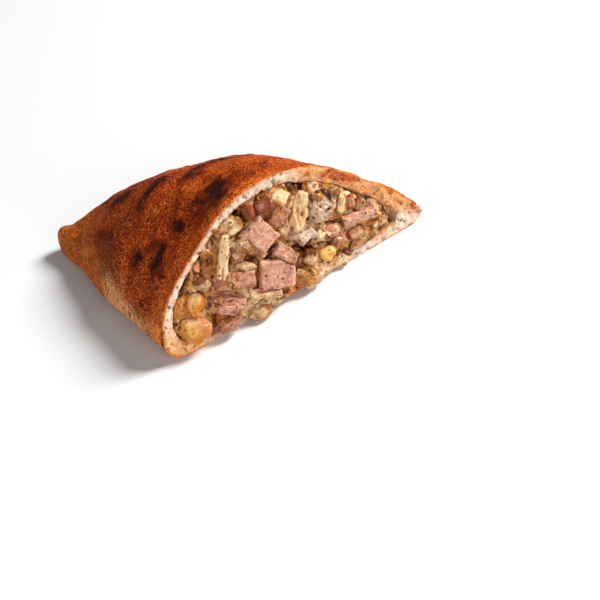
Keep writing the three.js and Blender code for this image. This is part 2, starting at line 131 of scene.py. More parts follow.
# Patches on the cut face of the filling, across and up in mm: (start, end, half width, strength).
JUICES = (
    ((3, 54), (-2, 31), 6.0, 0.95),
    ((-38, 44), (-42, 38), 4.0, 0.80),
    ((28, 34), (52, 22), 4.5, 0.75),
    ((-58, 26), (-62, 18), 4.0, 0.85),
    ((-16, 58), (-12, 50), 4.0, 0.70),
    ((6, 22), (12, 16), 4.0, 0.70),
)
CREAM_PATCHES = (
    ((-22, 57), (-25, 50), 3.5, 0.90),
    ((9, 46), (14, 30), 4.0, 0.80),
    ((13, 9), (21, 2), 6.0, 0.90),
    ((-27, 9), (-14, 3), 6.0, 0.90),
    ((-31, 42), (-35, 30), 4.0, 0.70),
    ((36, 36), (46, 30), 3.5, 0.60),
    ((46, 28), (58, 17), 3.5, 0.55),
)
# The gaps are pushed into the mass and painted dark as shade.
GAPS = (
    ((17, 54), (16, 37), 2.0, 1.00),
    ((4, 25), (10, 21), 2.2, 0.80),
    ((-21, 60), (-17, 52), 2.2, 0.60),
    ((-44, 43), (-46, 37), 1.8, 0.45),
    ((-40, 14), (-36, 12), 1.8, 0.70),
    ((-12, 28), (-8, 24), 1.6, 0.80),
)
# Burnt patches on the cut edge of the crust, given in the same way.
BURNT_RIM = (
    ((32, 53), (46, 42), 4.0, 1.00),
    ((74, 10), (76, 7), 3.0, 0.80),
)

# A spot on the crust runs from one point to another, in mm: (start, end, half width, strength).
SCORCHED = (
    ((-21, -47, 63), (-17, -36, 63), 4.4, 1.00),
    ((-24, -42, 62), (-15, -42, 65), 4.6, 0.55),
    ((-28, -33, 59), (-27, -39, 60), 2.6, 0.80),
    ((-20, -10, 56), (-15, -18, 60), 2.6, 0.85),
    ((-12, -8, 56), (-2, -15, 59), 3.6, 1.00),
    ((-38, 3, 48), (-28, 5, 51), 3.6, 1.00),
    ((-49, 27, 39), (-43, 21, 42), 3.4, 0.85),
    ((-46, 1, 45), (-42, 4, 47), 3.2, 0.60),
    ((-41, -37, 52), (-41, -34, 52), 3.8, 1.00),
    ((-59, -35, 39), (-51, -33, 44), 3.4, 1.00),
    ((-63, -21, 33), (-61, -18, 36), 3.0, 0.90),
    ((-61, 11, 33), (-61, 12, 33), 1.9, 0.95),
    ((-72, -10, 23), (-72, -3, 25), 2.0, 0.65),
    ((-73, -38, 24), (-73, -37, 24), 1.4, 0.90),
    ((38, -55, 45), (46, -54, 42), 3.4, 0.90),
    ((75, -60, 12), (79, -56, 11), 3.4, 0.80),
)
BROWNED = (
    ((-31, -40, 58), (-15, -36, 63), 10.0, 0.85),
    ((-40, -30, 52), (-47, -38, 48), 6.0, 0.40),
    ((-38, -19, 52), (-20, -14, 58), 5.5, 0.40),
    ((-50, -14, 44), (-45, 2, 46), 5.0, 0.35),
    ((-39, 3, 48), (-27, 5, 51), 7.0, 0.60),
    ((-50, 27, 39), (-42, 20, 42), 6.0, 0.55),
    ((-59, -35, 39), (-51, -33, 44), 5.5, 0.50),
    ((-63, -20, 33), (-61, -19, 36), 5.0, 0.55),
    ((-68, 8, 26), (-65, 22, 27), 8.0, 0.95),
    ((-72, -12, 23), (-70, 0, 26), 3.0, 0.45),
    ((-16, -9, 56), (0, -22, 62), 7.0, 0.60),
)
# Lighter parts of the baked crust: paler skin, and on the top painted highlights on bright humps.
PALE_AND_HIGHLIT = (
    ((-24, -21, 57), (-21, -29, 60), 2.6, 0.95),
    ((-8, -22, 60), (6, -30, 63), 6.0, 0.60),
    ((-66, 42, 20), (-55, 34, 32), 3.6, 0.80),
    ((-58, 24, 35), (-52, 14, 40), 3.0, 0.60),
    ((-66, -50, 32), (-40, -52, 52), 4.2, 0.80),
    ((-30, -10, 54), (-34, -16, 53), 2.4, 0.60),
    ((-48, -24, 46), (-54, -20, 42), 2.6, 0.55),
    ((-65, -10, 31), (-76, -22, 19), 2.2, 0.90),
    ((-74, 33, 14), (-71, 29, 20), 2.6, 0.90),
    ((-75, 62, 11), (-68, 50, 20), 5.0, 0.80),
    ((30, -20, 45), (44, -24, 38), 6.0, 0.60),
    ((10, 20, 42), (20, 8, 45), 5.0, 0.60),
    ((-25, 30, 42), (-18, 38, 38), 4.0, 0.60),
)

# The line that the dough puffs up along, beside the fold, in mm.
SHOULDER = ((-45, 14, 45), (0, -12, 60))

# A wrinkle runs between two points, in mm: (start, end, half width, depth).
WRINKLES = (
    ((-72, 53, 14), (-57, 31, 36), 1.6, 0.7),
    ((-65, 51, 19), (-48, 38, 36), 1.4, 0.5),
    ((-76, 47, 8), (-72, 24, 19), 1.6, 0.6),
    ((-68, 4, 29), (-77, -18, 12), 2.4, 0.9),
    ((-59, -11, 37), (-76, -28, 15), 2.0, 0.8),
    ((-54, 44, 26), (-38, 38, 38), 1.6, 0.4),
)


# ---------------------------------------------------------------- numbers and noise

# Turns the noise's cells away from the model's axes.
NOISE_TURN = np.array(
    Matrix.Rotation(0.6, 3, "X") @ Matrix.Rotation(0.8, 3, "Z") @ Matrix.Rotation(0.5, 3, "Y"))


def ramp(value, low, high):
    """0 below low, 1 above high, and a soft change between them."""
    share = np.clip((value - low) / (high - low), 0, 1)
    return share * share * (3 - 2 * share)


def lattice_value(cell, seed):
    """A repeatable number from -1 to 1 for each whole-numbered cell."""
    mixed = (cell[:, 0] * 73856093) ^ (cell[:, 1] * 19349663) ^ (cell[:, 2] * 83492791) ^ (seed * 2654435761)
    mixed = mixed & 0xFFFFFFFF
    mixed = ((mixed ^ (mixed >> 15)) * 2246822519) & 0xFFFFFFFF
    mixed = ((mixed ^ (mixed >> 13)) * 3266489917) & 0xFFFFFFFF
    mixed = mixed ^ (mixed >> 16)
    return mixed / 2147483647.5 - 1


def soft_noise(points, size, seed):
    """Noise from -1 to 1 whose features are about size across, in mm."""
    turned = points @ NOISE_TURN.T / (size * MM) + 1000
    cell = np.floor(turned).astype(np.int64)
    part = turned - cell
    part = part * part * (3 - 2 * part)
    total = np.zeros(len(points))
    for step in np.ndindex(2, 2, 2):
        share = np.prod(np.where(step, part, 1 - part), axis=1)
        total += share * lattice_value(cell + np.array(step), seed)
    return total


def noise(points, size, seed, layers=3, keep=0.5):
    """Noise with finer noise added on it, each layer half the size of the last."""
    total = np.zeros(len(points))
    for layer in range(layers):
        total += keep ** layer * soft_noise(points, size / 2 ** layer, seed + layer)
    return total


def ridges(points, size, seed, layers):
    """Noise with sharp crests, from -1 to 1."""
    return 1 - 2 * np.abs(noise(points, size, seed, layers))


def distance_to_line(points, start, end):
    """How far each point is from the line between start and end, in mm, whose ends are in mm too."""
    start, end = np.array(start, float), np.array(end, float)
    points, along = points / MM - start, end - start
    share = np.clip(points @ along / max(along @ along, 1e-12), 0, 1)
    return np.linalg.norm(points - share[:, None] * along, axis=1)


def wrinkle_depth(points):
    """How deep the wrinkles of the folded dough are at each point, in metres."""
    depth = np.zeros(len(points))
    ragged = 1 + 0.3 * soft_noise(points, 6, 71)
    for start, end, half_width, most in WRINKLES:
        away = distance_to_line(points, start, end) / half_width * ragged
        depth = np.maximum(depth, most * MM * (1 - ramp(away, 0, 1.6)))
    return depth


def spot_mask(points, spots, inner=0.0, outer=1.9, raggedness=0.5, seed=5):
    """How strongly the spots colour each point, full inside inner half widths and none past outer."""
    mask = np.zeros(len(points))
    ragged = 1 + raggedness * noise(points, 4.5, seed, 4, 0.6)
    for start, end, half_width, darkness in spots:
        away = distance_to_line(points, start, end) / half_width * ragged
        mask = np.maximum(mask, darkness * (1 - ramp(away, inner, outer)))
    return mask


def front_mask(points, patches, seed=6):
    """How strongly the patches of the cut face mark each point, whatever its depth."""
    across = points * (1, 0, 1)
    lines = [((x0, 0, z0), (x1, 0, z1), width, share) for (x0, z0), (x1, z1), width, share in patches]
    return spot_mask(across, lines, 0.3, 1.4, 0.4, seed)


# ---------------------------------------------------------------- mesh tools

def read_vectors(items, key):
    numbers = np.empty(len(items) * 3, np.float32)
    items.foreach_get(key, numbers)
    return numbers.reshape(-1, 3).astype(float)


def vertex_places(piece):
    return read_vectors(piece.data.vertices, "co")


def places_and_normals(piece):
    return vertex_places(piece), read_vectors(piece.data.vertex_normals, "vector")


def move_vertices(piece, places, lowest=0.0):
    """Moves the vertices, none of them below the lowest height."""
    places[:, 2] = np.maximum(places[:, 2], lowest)
    piece.data.vertices.foreach_set("co", places.astype(np.float32).ravel())
    piece.data.update()


def write_masks(piece, **masks):
    """Keeps numbers from 0 to 1 for the vertices, which a material then reads."""
    for name, values in masks.items():
        attribute = piece.data.attributes.new(name, "FLOAT", "POINT")
        values = np.broadcast_to(np.clip(values, 0, 1), len(piece.data.vertices))
        attribute.data.foreach_set("value", values.astype(np.float32))


def new_piece(name, mesh):
    piece = bpy.data.objects.new(name, mesh)
    bpy.context.scene.collection.objects.link(piece)
    return piece


def copy_of_node(node, name):
    """A new piece with the node's shape, its loose triangles joined."""
    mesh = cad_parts[node].data.copy()
    mesh.name = name
    mesh.materials.clear()
    shape = bmesh.new()
    shape.from_mesh(mesh)
    bmesh.ops.remove_doubles(shape, verts=shape.verts, dist=2e-6)
    shape.to_mesh(mesh)
    shape.free()
    return new_piece(name, mesh)


def bake_modifiers(piece):
    """Turns the piece and its modifiers into a plain mesh."""
    evaluated = piece.evaluated_get(bpy.context.evaluated_depsgraph_get())
    mesh = bpy.data.meshes.new_from_object(evaluated)
    old = piece.data
    piece.modifiers.clear()
    piece.data = mesh
    mesh.name = piece.name
    bpy.data.meshes.remove(old)


def round_facets(piece, levels, sharp_angle):
    """Rounds the flat facets, and keeps the edges that are sharper than sharp_angle."""
    shape = bmesh.new()
    shape.from_mesh(piece.data)
    crease = shape.edges.layers.float.new("crease_edge")
    for edge in shape.edges:
        if len(edge.link_faces) == 2 and edge.calc_face_angle(0) > sharp_angle:
            edge[crease] = 1
    shape.to_mesh(piece.data)
    shape.free()
    rounding = piece.modifiers.new("rounding", "SUBSURF")
    rounding.levels = levels
    rounding.render_levels = levels
    bake_modifiers(piece)


def remesh(piece, voxel):
    """Covers the piece evenly with small faces of about voxel across."""
    cover = piece.modifiers.new("cover", "REMESH")
    cover.mode = "VOXEL"
    cover.voxel_size = voxel
    cover.use_smooth_shade = True
    bake_modifiers(piece)


def smooth(piece, times, where=None):
    """Evens out the surface, or only where the mask says."""
    if times > 0:
        relax = piece.modifiers.new("relax", "SMOOTH")
        relax.iterations = times
        relax.factor = 0.5
        if where is not None:
            group = piece.vertex_groups.new(name="where")
            for index in np.nonzero(where)[0].tolist():
                group.add([index], float(where[index]), "REPLACE")
            relax.vertex_group = group.name
        bake_modifiers(piece)
        piece.vertex_groups.clear()


def refine(piece, vertex_mask):
    """Splits the faces that touch the marked vertices into four."""
    shape = bmesh.new()
    shape.from_mesh(piece.data)
    shape.verts.ensure_lookup_table()
    marked = set(np.nonzero(vertex_mask)[0].tolist())
    edges = [e for e in shape.edges if e.verts[0].index in marked and e.verts[1].index in marked]
    bmesh.ops.subdivide_edges(shape, edges=edges, cuts=1, use_grid_fill=True)
    bmesh.ops.triangulate(shape, faces=[f for f in shape.faces if len(f.verts) > 4])
    shape.to_mesh(piece.data)
    shape.free()


def surface_tree(piece):
    """A search tree over the piece's faces."""
    faces = [tuple(face.vertices) for face in piece.data.polygons]
    return BVHTree.FromPolygons([Vector(place) for place in vertex_places(piece)], faces)


def point_tree(points):
    """A search tree over the points."""
    tree = KDTree(len(points))
    for index, point in enumerate(points):
        tree.insert(Vector(point), index)
    tree.balance()
    return tree


def finish_piece(piece, material, slot, *nodes):
    """Gives the piece its material and puts it in place of its nodes."""
    piece.data.shade_smooth()
    piece.data.materials.clear()
    piece.data.materials.append(material)
    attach(piece, BODY)
    if nodes:
        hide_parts(*nodes)


def own_axes(points):
    """The middle of the points and their own long, middle and short directions."""
    middle = points.mean(0)
    _, directions = np.linalg.eigh(np.cov((points - middle).T))
    return middle, directions[:, ::-1]


# ---------------------------------------------------------------- node tools

def plug(socket, value):
    """Sets an input to a value, or links it to the output that it's given."""
    if isinstance(value, Value):
        socket.id_data.links.new(value.socket, socket)
    else:
        socket.default_value = value


def add_node(tree, kind, inputs=None, **settings):
    """A new node with its settings made and its inputs set or linked."""
    node = tree.nodes.new(kind)
    for key, value in settings.items():
        setattr(node, key, value)
    for key, value in (inputs or {}).items():
        plug(node.inputs[key], value)
    return node


def made(tree, kind, inputs=None, output=0, **settings):
    """Adds a node and gives one of its outputs."""
    return Value(add_node(tree, kind, inputs, **settings).outputs[output])


class Value:
    """What a node puts out. Sums, differences and products of it add the nodes that work them out."""

    def __init__(self, socket):
        self.socket = socket

    def maths(self, operation, *values):
        return made(self.socket.id_data, "ShaderNodeMath", dict(enumerate(values)), operation=operation)

    def __add__(self, other):
        return self.maths("ADD", self, other)

    def __sub__(self, other):
        return self.maths("SUBTRACT", self, other)

    def __rsub__(self, other):
        return self.maths("SUBTRACT", other, self)

    def __mul__(self, other):
        return self.maths("MULTIPLY", self, other)

    def most(self, other):
        return self.maths("MAXIMUM", self, other)

    def spread(self, low, high, out_low=0.0, out_high=1.0):
        """Maps low to high softly onto out_low to out_high."""
        inputs = dict(enumerate((self, low, high, out_low, out_high)))
        return made(self.socket.id_data, "ShaderNodeMapRange", inputs, interpolation_type="SMOOTHSTEP")


def vector_maths(tree, operation, *values):
    return made(tree, "ShaderNodeVectorMath", dict(enumerate(values)), operation=operation)


def object_place(tree):
    return made(tree, "ShaderNodeTexCoord", output="Object")


def paint(colour):
    """A display colour, each part from 0 to 1, as the linear colour that a shader needs."""
    linear = [c / 12.92 if c <= 0.04045 else ((c + 0.055) / 1.055) ** 2.4 for c in colour]
    return (*linear, 1.0)


def mixed(tree, share, first, second):
    """From the first colour to the second, each a linear colour or a node's output."""
    return made(tree, "ShaderNodeMix", {0: share, 6: first, 7: second}, 2, data_type="RGBA")


def shader_group(name, inputs, outputs):
    """An empty shader group, what it's given, and where its results go."""
    group = bpy.data.node_groups.new(name, "ShaderNodeTree")
    for label, default in inputs.items():
        kind = {1: "Float", 3: "Vector", 4: "Color"}[np.size(default)]
        socket = group.interface.new_socket(label, in_out="INPUT", socket_type="NodeSocket" + kind)
        socket.default_value = default
    for label, kind in outputs.items():
        group.interface.new_socket(label, in_out="OUTPUT", socket_type="NodeSocket" + kind)
    given = group.nodes.new("NodeGroupInput").outputs
    return group, [Value(given[label]) for label in inputs], group.nodes.new("NodeGroupOutput").inputs


def grain_group():
    """Fine baked or cut grain: a mask, and the height that goes with it."""
    group, (per_metre, contrast), result = shader_group(
        "Fine grain", {"Grain per metre": 1500.0, "Contrast": 0.5}, {"Mask": "Float", "Height": "Float"})
    field = made(group, "ShaderNodeTexNoise", {
        "Vector": object_place(group), "Scale": per_metre, "Detail": 3.0, "Roughness": 0.65}, "Fac")
    half = contrast * 0.25
    plug(result["Mask"], field.spread(0.5 - half, half + 0.5))
    plug(result["Height"], field)
    return group


def mottle_group():
    """Soft uneven patches with broken edges."""
    group, (per_metre, share, softness, shift, stretch), result = shader_group(
        "Mottle", {"Patches per metre": 80.0, "Share": 0.5, "Softness": 0.15, "Shift": (0.0, 0.0, 0.0),
                   "Stretch": (1.0, 1.0, 1.0)}, {"Mask": "Float"})
    place = vector_maths(group, "MULTIPLY_ADD", object_place(group), stretch, shift)
    field = made(group, "ShaderNodeTexNoise", {
        "Vector": place, "Scale": per_metre, "Detail": 5.0, "Roughness": 0.6, "Distortion": 0.4}, "Fac")
    centre = 0.75 - share * 0.5
    plug(result["Mask"], field.spread(centre - softness, centre + softness))
    return group


def flake_group():
    """Scattered specks, such as ground pepper, dried herbs and open pores."""
    group, (per_metre, share, size, shift), result = shader_group(
        "Specks", {"Specks per metre": 400.0, "Share": 0.2, "Size": 0.3, "Shift": (0.0, 0.0, 0.0)},
        {"Mask": "Float"})
    place = vector_maths(group, "ADD", object_place(group), shift)
    wander = made(group, "ShaderNodeTexNoise", {"Vector": place, "Scale": 1800.0, "Detail": 1.0}, "Color")
    wander = vector_maths(group, "MULTIPLY", wander, (0.0007, 0.0007, 0.0007))
    place = vector_maths(group, "ADD", place, wander)
    cells = add_node(group, "ShaderNodeTexVoronoi", {"Vector": place, "Scale": per_metre}).outputs
    chance = add_node(group, "ShaderNodeSeparateColor", {"Color": Value(cells["Color"])}).outputs
    here = share.maths("GREATER_THAN", share, Value(chance["Red"]))
    size = size * (Value(chance["Green"]) + 0.5)
    plug(result["Mask"], here * Value(cells["Distance"]).spread(size * 0.6, size, 1.0, 0.0))
    return group


def sauce_group():
    """Juices that creep over a piece's edges in broken patches, with painted shade where the piece meets the
    mass.
    """
    group, (colour, cover, juice_and_shade), result = shader_group(
        "Sauce", {"Colour": (0.8, 0.6, 0.4, 1.0), "Cover": 0.0, "Juice": (0.4, 0.1, 0.02, 1.0)},
        {"Colour": "Color"})
    field = made(group, "ShaderNodeTexNoise", {
        "Vector": object_place(group), "Scale": 420.0, "Detail": 3.0, "Roughness": 0.6}, "Fac")
    amount = cover + (field - 0.5) * 1.3
    plug(result["Colour"], mixed(group, amount.spread(0.45, 1.2, 0.0, 0.75), colour, juice_and_shade))
    return group


GROUPS = {}


def pattern(tree, maker, *values):
    """A node of a shared group, whose inputs take the values in turn, and what it puts out."""
    if maker not in GROUPS:
        GROUPS[maker] = maker()
    node = add_node(tree, "ShaderNodeGroup", dict(enumerate(values)), node_tree=GROUPS[maker])
    return [Value(socket) for socket in node.outputs]


class Look:
    """A material in the making: its nodes, its main shader and the colour laid so far."""

    def __init__(self, name, base, roughness, subsurface=0.0, depth=MM, tint=(1.0, 0.4, 0.25), shine=0.14):
        self.material = bpy.data.materials.new(name)
        self.material.use_nodes = True
        self.tree = self.material.node_tree
        self.base(base)
        self.set("Roughness", roughness)
        self.set("Specular IOR Level", shine)
        self.set("Subsurface Weight", subsurface)
        self.set("Subsurface Radius", tint)
        self.set("Subsurface Scale", depth)

    def set(self, name, value):
        plug(self.tree.nodes["Principled BSDF"].inputs[name], value)

    def base(self, colour):
        """Starts afresh with a colour."""
        self.colour = paint(colour)

    def lay(self, colour, share):
        """Lays a display colour, or a node's colour, over what's there."""
        over = colour if isinstance(colour, Value) else paint(colour)
        self.colour = mixed(self.tree, share, self.colour, over)

    def mask(self, name):
        """What the piece's vertices hold under this name."""
        return made(self.tree, "ShaderNodeAttribute", output="Fac",
                    attribute_name=name, attribute_type="GEOMETRY")

    def mottle(self, per_metre, share, softness, shift=(0, 0, 0), stretch=(1, 1, 1)):
        return pattern(self.tree, mottle_group, per_metre, share, softness, shift, stretch)[0]

    def flakes(self, per_metre, share, size, shift=(0, 0, 0)):
        return pattern(self.tree, flake_group, per_metre, share, size, shift)[0]

    def grain(self, per_metre, contrast):
        """The grain's mask and its height."""
        return pattern(self.tree, grain_group, per_metre, contrast)

    def dress(self, juice_and_shade, specks):
        """Lays on the specks, the sauce with its painted shade at the piece's borders, and the wet patches
        that every piece of food carries.
        """
        self.set("Coat Weight", self.mottle(420, 0.42, 0.07, (0.9, 0.3, 0.7)) * 0.45)
        self.set("Coat Roughness", 0.12)
        self.lay(GROUND_SPECK, self.flakes(540, specks, 0.3) * 0.85)
        self.colour = pattern(self.tree, sauce_group, self.colour, self.mask("sauce"), paint(juice_and_shade))[0]

    def finish(self, *bumps):
        """Links the colour and the bumps, each (height, depth in metres)."""
        normal = {}
        for height, depth in bumps:
            inputs = {"Height": height, "Distance": depth, "Strength": 1.0, **normal}
            normal = {"Normal": made(self.tree, "ShaderNodeBump", inputs)}
        for name, value in {"Base Color": self.colour, **normal}.items():
            self.set(name, value)
        return self.material


# ---------------------------------------------------------------- settings

def hue(name, description, default):
    return bpy.props.FloatVectorProperty(
        name=name, description=description, subtype="COLOR_GAMMA", size=3, min=0.0, max=1.0, default=default)


def length(name, description, default):
    return bpy.props.FloatProperty(
        name=name, description=description, default=default, min=0.0, unit="LENGTH", subtype="DISTANCE")


def watts(name, description, default):
    return bpy.props.FloatProperty(name=name, description=description, default=default, min=0.0, unit="POWER")


class CrustSettings(bpy.types.PropertyGroup):
    face_size: length("Face size", "How far apart the crust's points are", 1.15 * MM)
    unevenness: length("Unevenness", "Height of the broad humps of the dough", 0.9 * MM)
    blisters: length("Blisters", "Height of the small humps of the baked skin", 0.35 * MM)
    shoulder: length("Shoulder", "How far the dough puffs up beside the fold", 1.6 * MM)
    pores: length("Pores", "Depth of the open pores on the cut", 1.6 * MM)
    baked: hue("Baked", "Rust brown of the well baked top", (0.69, 0.20, 0.025))
    deep: hue("Deep brown", "Darker brown of the hottest parts", (0.35, 0.06, 0.008))
    golden: hue("Golden", "Lighter orange brown", (0.90, 0.40, 0.10))
    speckle: hue("Speckle", "Light grains in the baked skin", (0.98, 0.52, 0.18))
    pale_speckle: hue("Pale speckle", "Palest grains, low on the fold", (1.0, 0.82, 0.60))
    tan: hue("Tan", "Pale band low on the fold", (1.0, 0.64, 0.36))
    scorched: hue("Scorched", "Near black of the scorched spots", (0.13, 0.05, 0.03))
    crumb: hue("Crumb", "White bread inside the crust", (0.93, 0.84, 0.75))
    crumb_shade: hue("Crumb shade", "Duller parts of the crumb", (0.84, 0.69, 0.55))
    # Painted shade inside the crumb's open pores and bubbles.
    pore_shade: hue("Pore", "Inside of the crumb's pores", (0.60, 0.46, 0.34))
    peach: hue("Peach", "Golden crumb at the fold's end", (0.99, 0.74, 0.46))
    torn: hue("Torn", "Golden crumb where the cut is torn and baked", (0.86, 0.56, 0.23))
    bright_edge: hue("Bright edge", "Golden orange skin at the fold's end", (1.0, 0.60, 0.20))
    toasted: hue("Toasted edge", "Orange edge of the cut", (0.88, 0.49, 0.16))
    herbs: hue("Herbs", "Green herbs in the torn crumb", (0.20, 0.28, 0.05))


class FillingSettings(bpy.types.PropertyGroup):
    face_size: length("Face size", "How far apart the front's points are", 0.5 * MM)
    chunks: length("Chunks", "Height of the chopped chunks", 1.0 * MM)
    bedding: length("Bedding", "How far the larger pieces stand out of the mass", 0.6 * MM)
    cream: hue("Cream", "Melted cheese and cream", (0.85, 0.59, 0.31))
    amber: hue("Amber", "Oil and juices", (0.74, 0.42, 0.11))
    ham: hue("Ham", "Crumbled ham", (0.80, 0.52, 0.36))
    mushroom: hue("Mushroom", "Chopped mushroom", (0.56, 0.40, 0.23))
    white: hue("White", "Patches of white melted cheese", (0.92, 0.80, 0.62))
    # Dark juice on random darker chips, and painted shade in the mass's seams, low parts, hollows and gaps
    # and beside the larger pieces.
    juice_and_crevice_shade: hue("Crevice", "Dark juices in the gaps", (0.36, 0.125, 0.025))
    specks: hue("Specks", "Fine ground pepper and herbs", (0.15, 0.11, 0.05))


class HamSettings(bpy.types.PropertyGroup):
    face_size: length("Face size", "How far apart the points are", 0.4 * MM)
    pink: hue("Pink", "Fresh face of the ham", (0.74, 0.49, 0.41))
    tan: hue("Tan", "Paler, drier face", (0.73, 0.47, 0.27))
    browned: hue("Browned", "Cooked and oiled parts", (0.45, 0.15, 0.01))
    # Real fat marbling, and a painted highlight along the edges of the diced pieces.
    fat_and_edge_highlight: hue("Fat", "Pale fat and cut edges", (0.95, 0.81, 0.70))
    # Laid where the piece meets the mass: juice, and painted shade there.
    juice_and_shade: hue("Juice", "Juices that creep over the edges", (0.70, 0.40, 0.13))


class MushroomSettings(bpy.types.PropertyGroup):
    face_size: length("Face size", "How far apart the points are", 0.35 * MM)
    flesh: hue("Flesh", "Cream flesh", (0.80, 0.63, 0.43))
    grey: hue("Grey", "Grey cooked flesh", (0.78, 0.67, 0.57))
    skin: hue("Skin", "Brown skin and gills", (0.44, 0.22, 0.04))
    gills: hue("Gills", "Near black gills", (0.13, 0.11, 0.07))
    pale: hue("Pale grain", "Lightest grains of the flesh", (0.90, 0.80, 0.68))
    # Laid where the piece meets the mass: juice, and painted shade there.
    juice_and_shade: hue("Juice", "Juices that creep over the edges", (0.64, 0.37, 0.13))


class OnionSettings(bpy.types.PropertyGroup):
    face_size: length("Face size", "How far apart the points are", 0.35 * MM)
    clear: hue("Clear", "Cream of the soft onion", (0.92, 0.77, 0.58))
    browned: hue("Browned", "Fried edge", (0.57, 0.25, 0.03))
    # Laid where the piece meets the mass: juice, and painted shade there.
    juice_and_shade: hue("Juice", "Juices that creep over the edges", (0.68, 0.40, 0.14))


class CheeseSettings(bpy.types.PropertyGroup):
    face_size: length("Face size", "How far apart the points are", 0.4 * MM)
    white: hue("White", "White melted cheese", (0.93, 0.80, 0.63))
    yellow: hue("Yellow", "Yellow cheese", (0.90, 0.64, 0.25))
    oil: hue("Oil", "Orange oil in and on the cheese", (0.76, 0.42, 0.09))
    dull: hue("Dull", "Clear, half melted cheese", (0.50, 0.35, 0.20))
    herbs: hue("Herbs", "Dried herbs in the cheese", (0.20, 0.15, 0.06))
    # Laid where the piece meets the mass: juice, and painted shade there.
    juice_and_shade: hue("Juice", "Juices that creep over the edges", (0.74, 0.43, 0.13))


class SprinkleSettings(bpy.types.PropertyGroup):
    amount: bpy.props.FloatProperty(name="Amount", description="How thickly all the bits are scattered",
                                    default=1.0, min=0.0, max=4.0, subtype="FACTOR")
    ham: hue("Ham", "Paler ham crumbs", (0.82, 0.58, 0.44))
    ham_dark: hue("Dark ham", "Browned ham crumbs", (0.55, 0.27, 0.12))
    mushroom: hue("Mushroom", "Paler mushroom crumbs", (0.70, 0.56, 0.40))
    mushroom_dark: hue("Dark mushroom", "Browned mushroom crumbs", (0.36, 0.20, 0.08))
    cheese: hue("Cheese", "White crumbs of cheese", (0.95, 0.82, 0.62))
    cheese_dark: hue("Dark cheese", "Yellow crumbs of cheese", (0.80, 0.56, 0.30))
    oil: hue("Oil", "Clear orange oil", (0.78, 0.46, 0.12))
    oil_dark: hue("Dark oil", "Deeper orange oil", (0.55, 0.26, 0.05))
    herb: hue("Herb", "Dried green herbs", (0.24, 0.24, 0.09))
    herb_dark: hue("Dark herb", "Darker dried herbs", (0.09, 0.09, 0.04))
    pepper: hue("Pepper", "Brown ground pepper", (0.22, 0.14, 0.08))
    pepper_dark: hue("Dark pepper", "Black ground pepper", (0.06, 0.045, 0.03))


class StageSettings(bpy.types.PropertyGroup):
    floor: hue("Floor", "Pale floor", (0.93, 0.93, 0.93))
    lens: bpy.props.FloatProperty(
        name="Lens", description="Focal length of the camera", default=89.23, min=10.0, unit="CAMERA")
    key_power: watts("Key light", "Power of the main soft light", 145.0)
    fill_power: watts("Fill light", "Power of the front soft light", 20.5)
    side_power: watts("Side light", "Power of the soft light from the fold's side", 4.8)
    sky: bpy.props.FloatProperty(
        name="Sky", description="Strength of the even light all round", default=0.09, min=0.0)
    backdrop: bpy.props.FloatProperty(
        name="Backdrop", description="Brightness of what lies behind the floor", default=0.95, min=0.0)


def settings(name):
    return getattr(bpy.context.scene, "calzone_" + name)


# ---------------------------------------------------------------- crust

def cut_plane(height):
    """The y of the cut at each height."""
    return CUT_Y - CUT_LEAN * (1 - ramp(height, 0, CUT_LEAN_TOP))


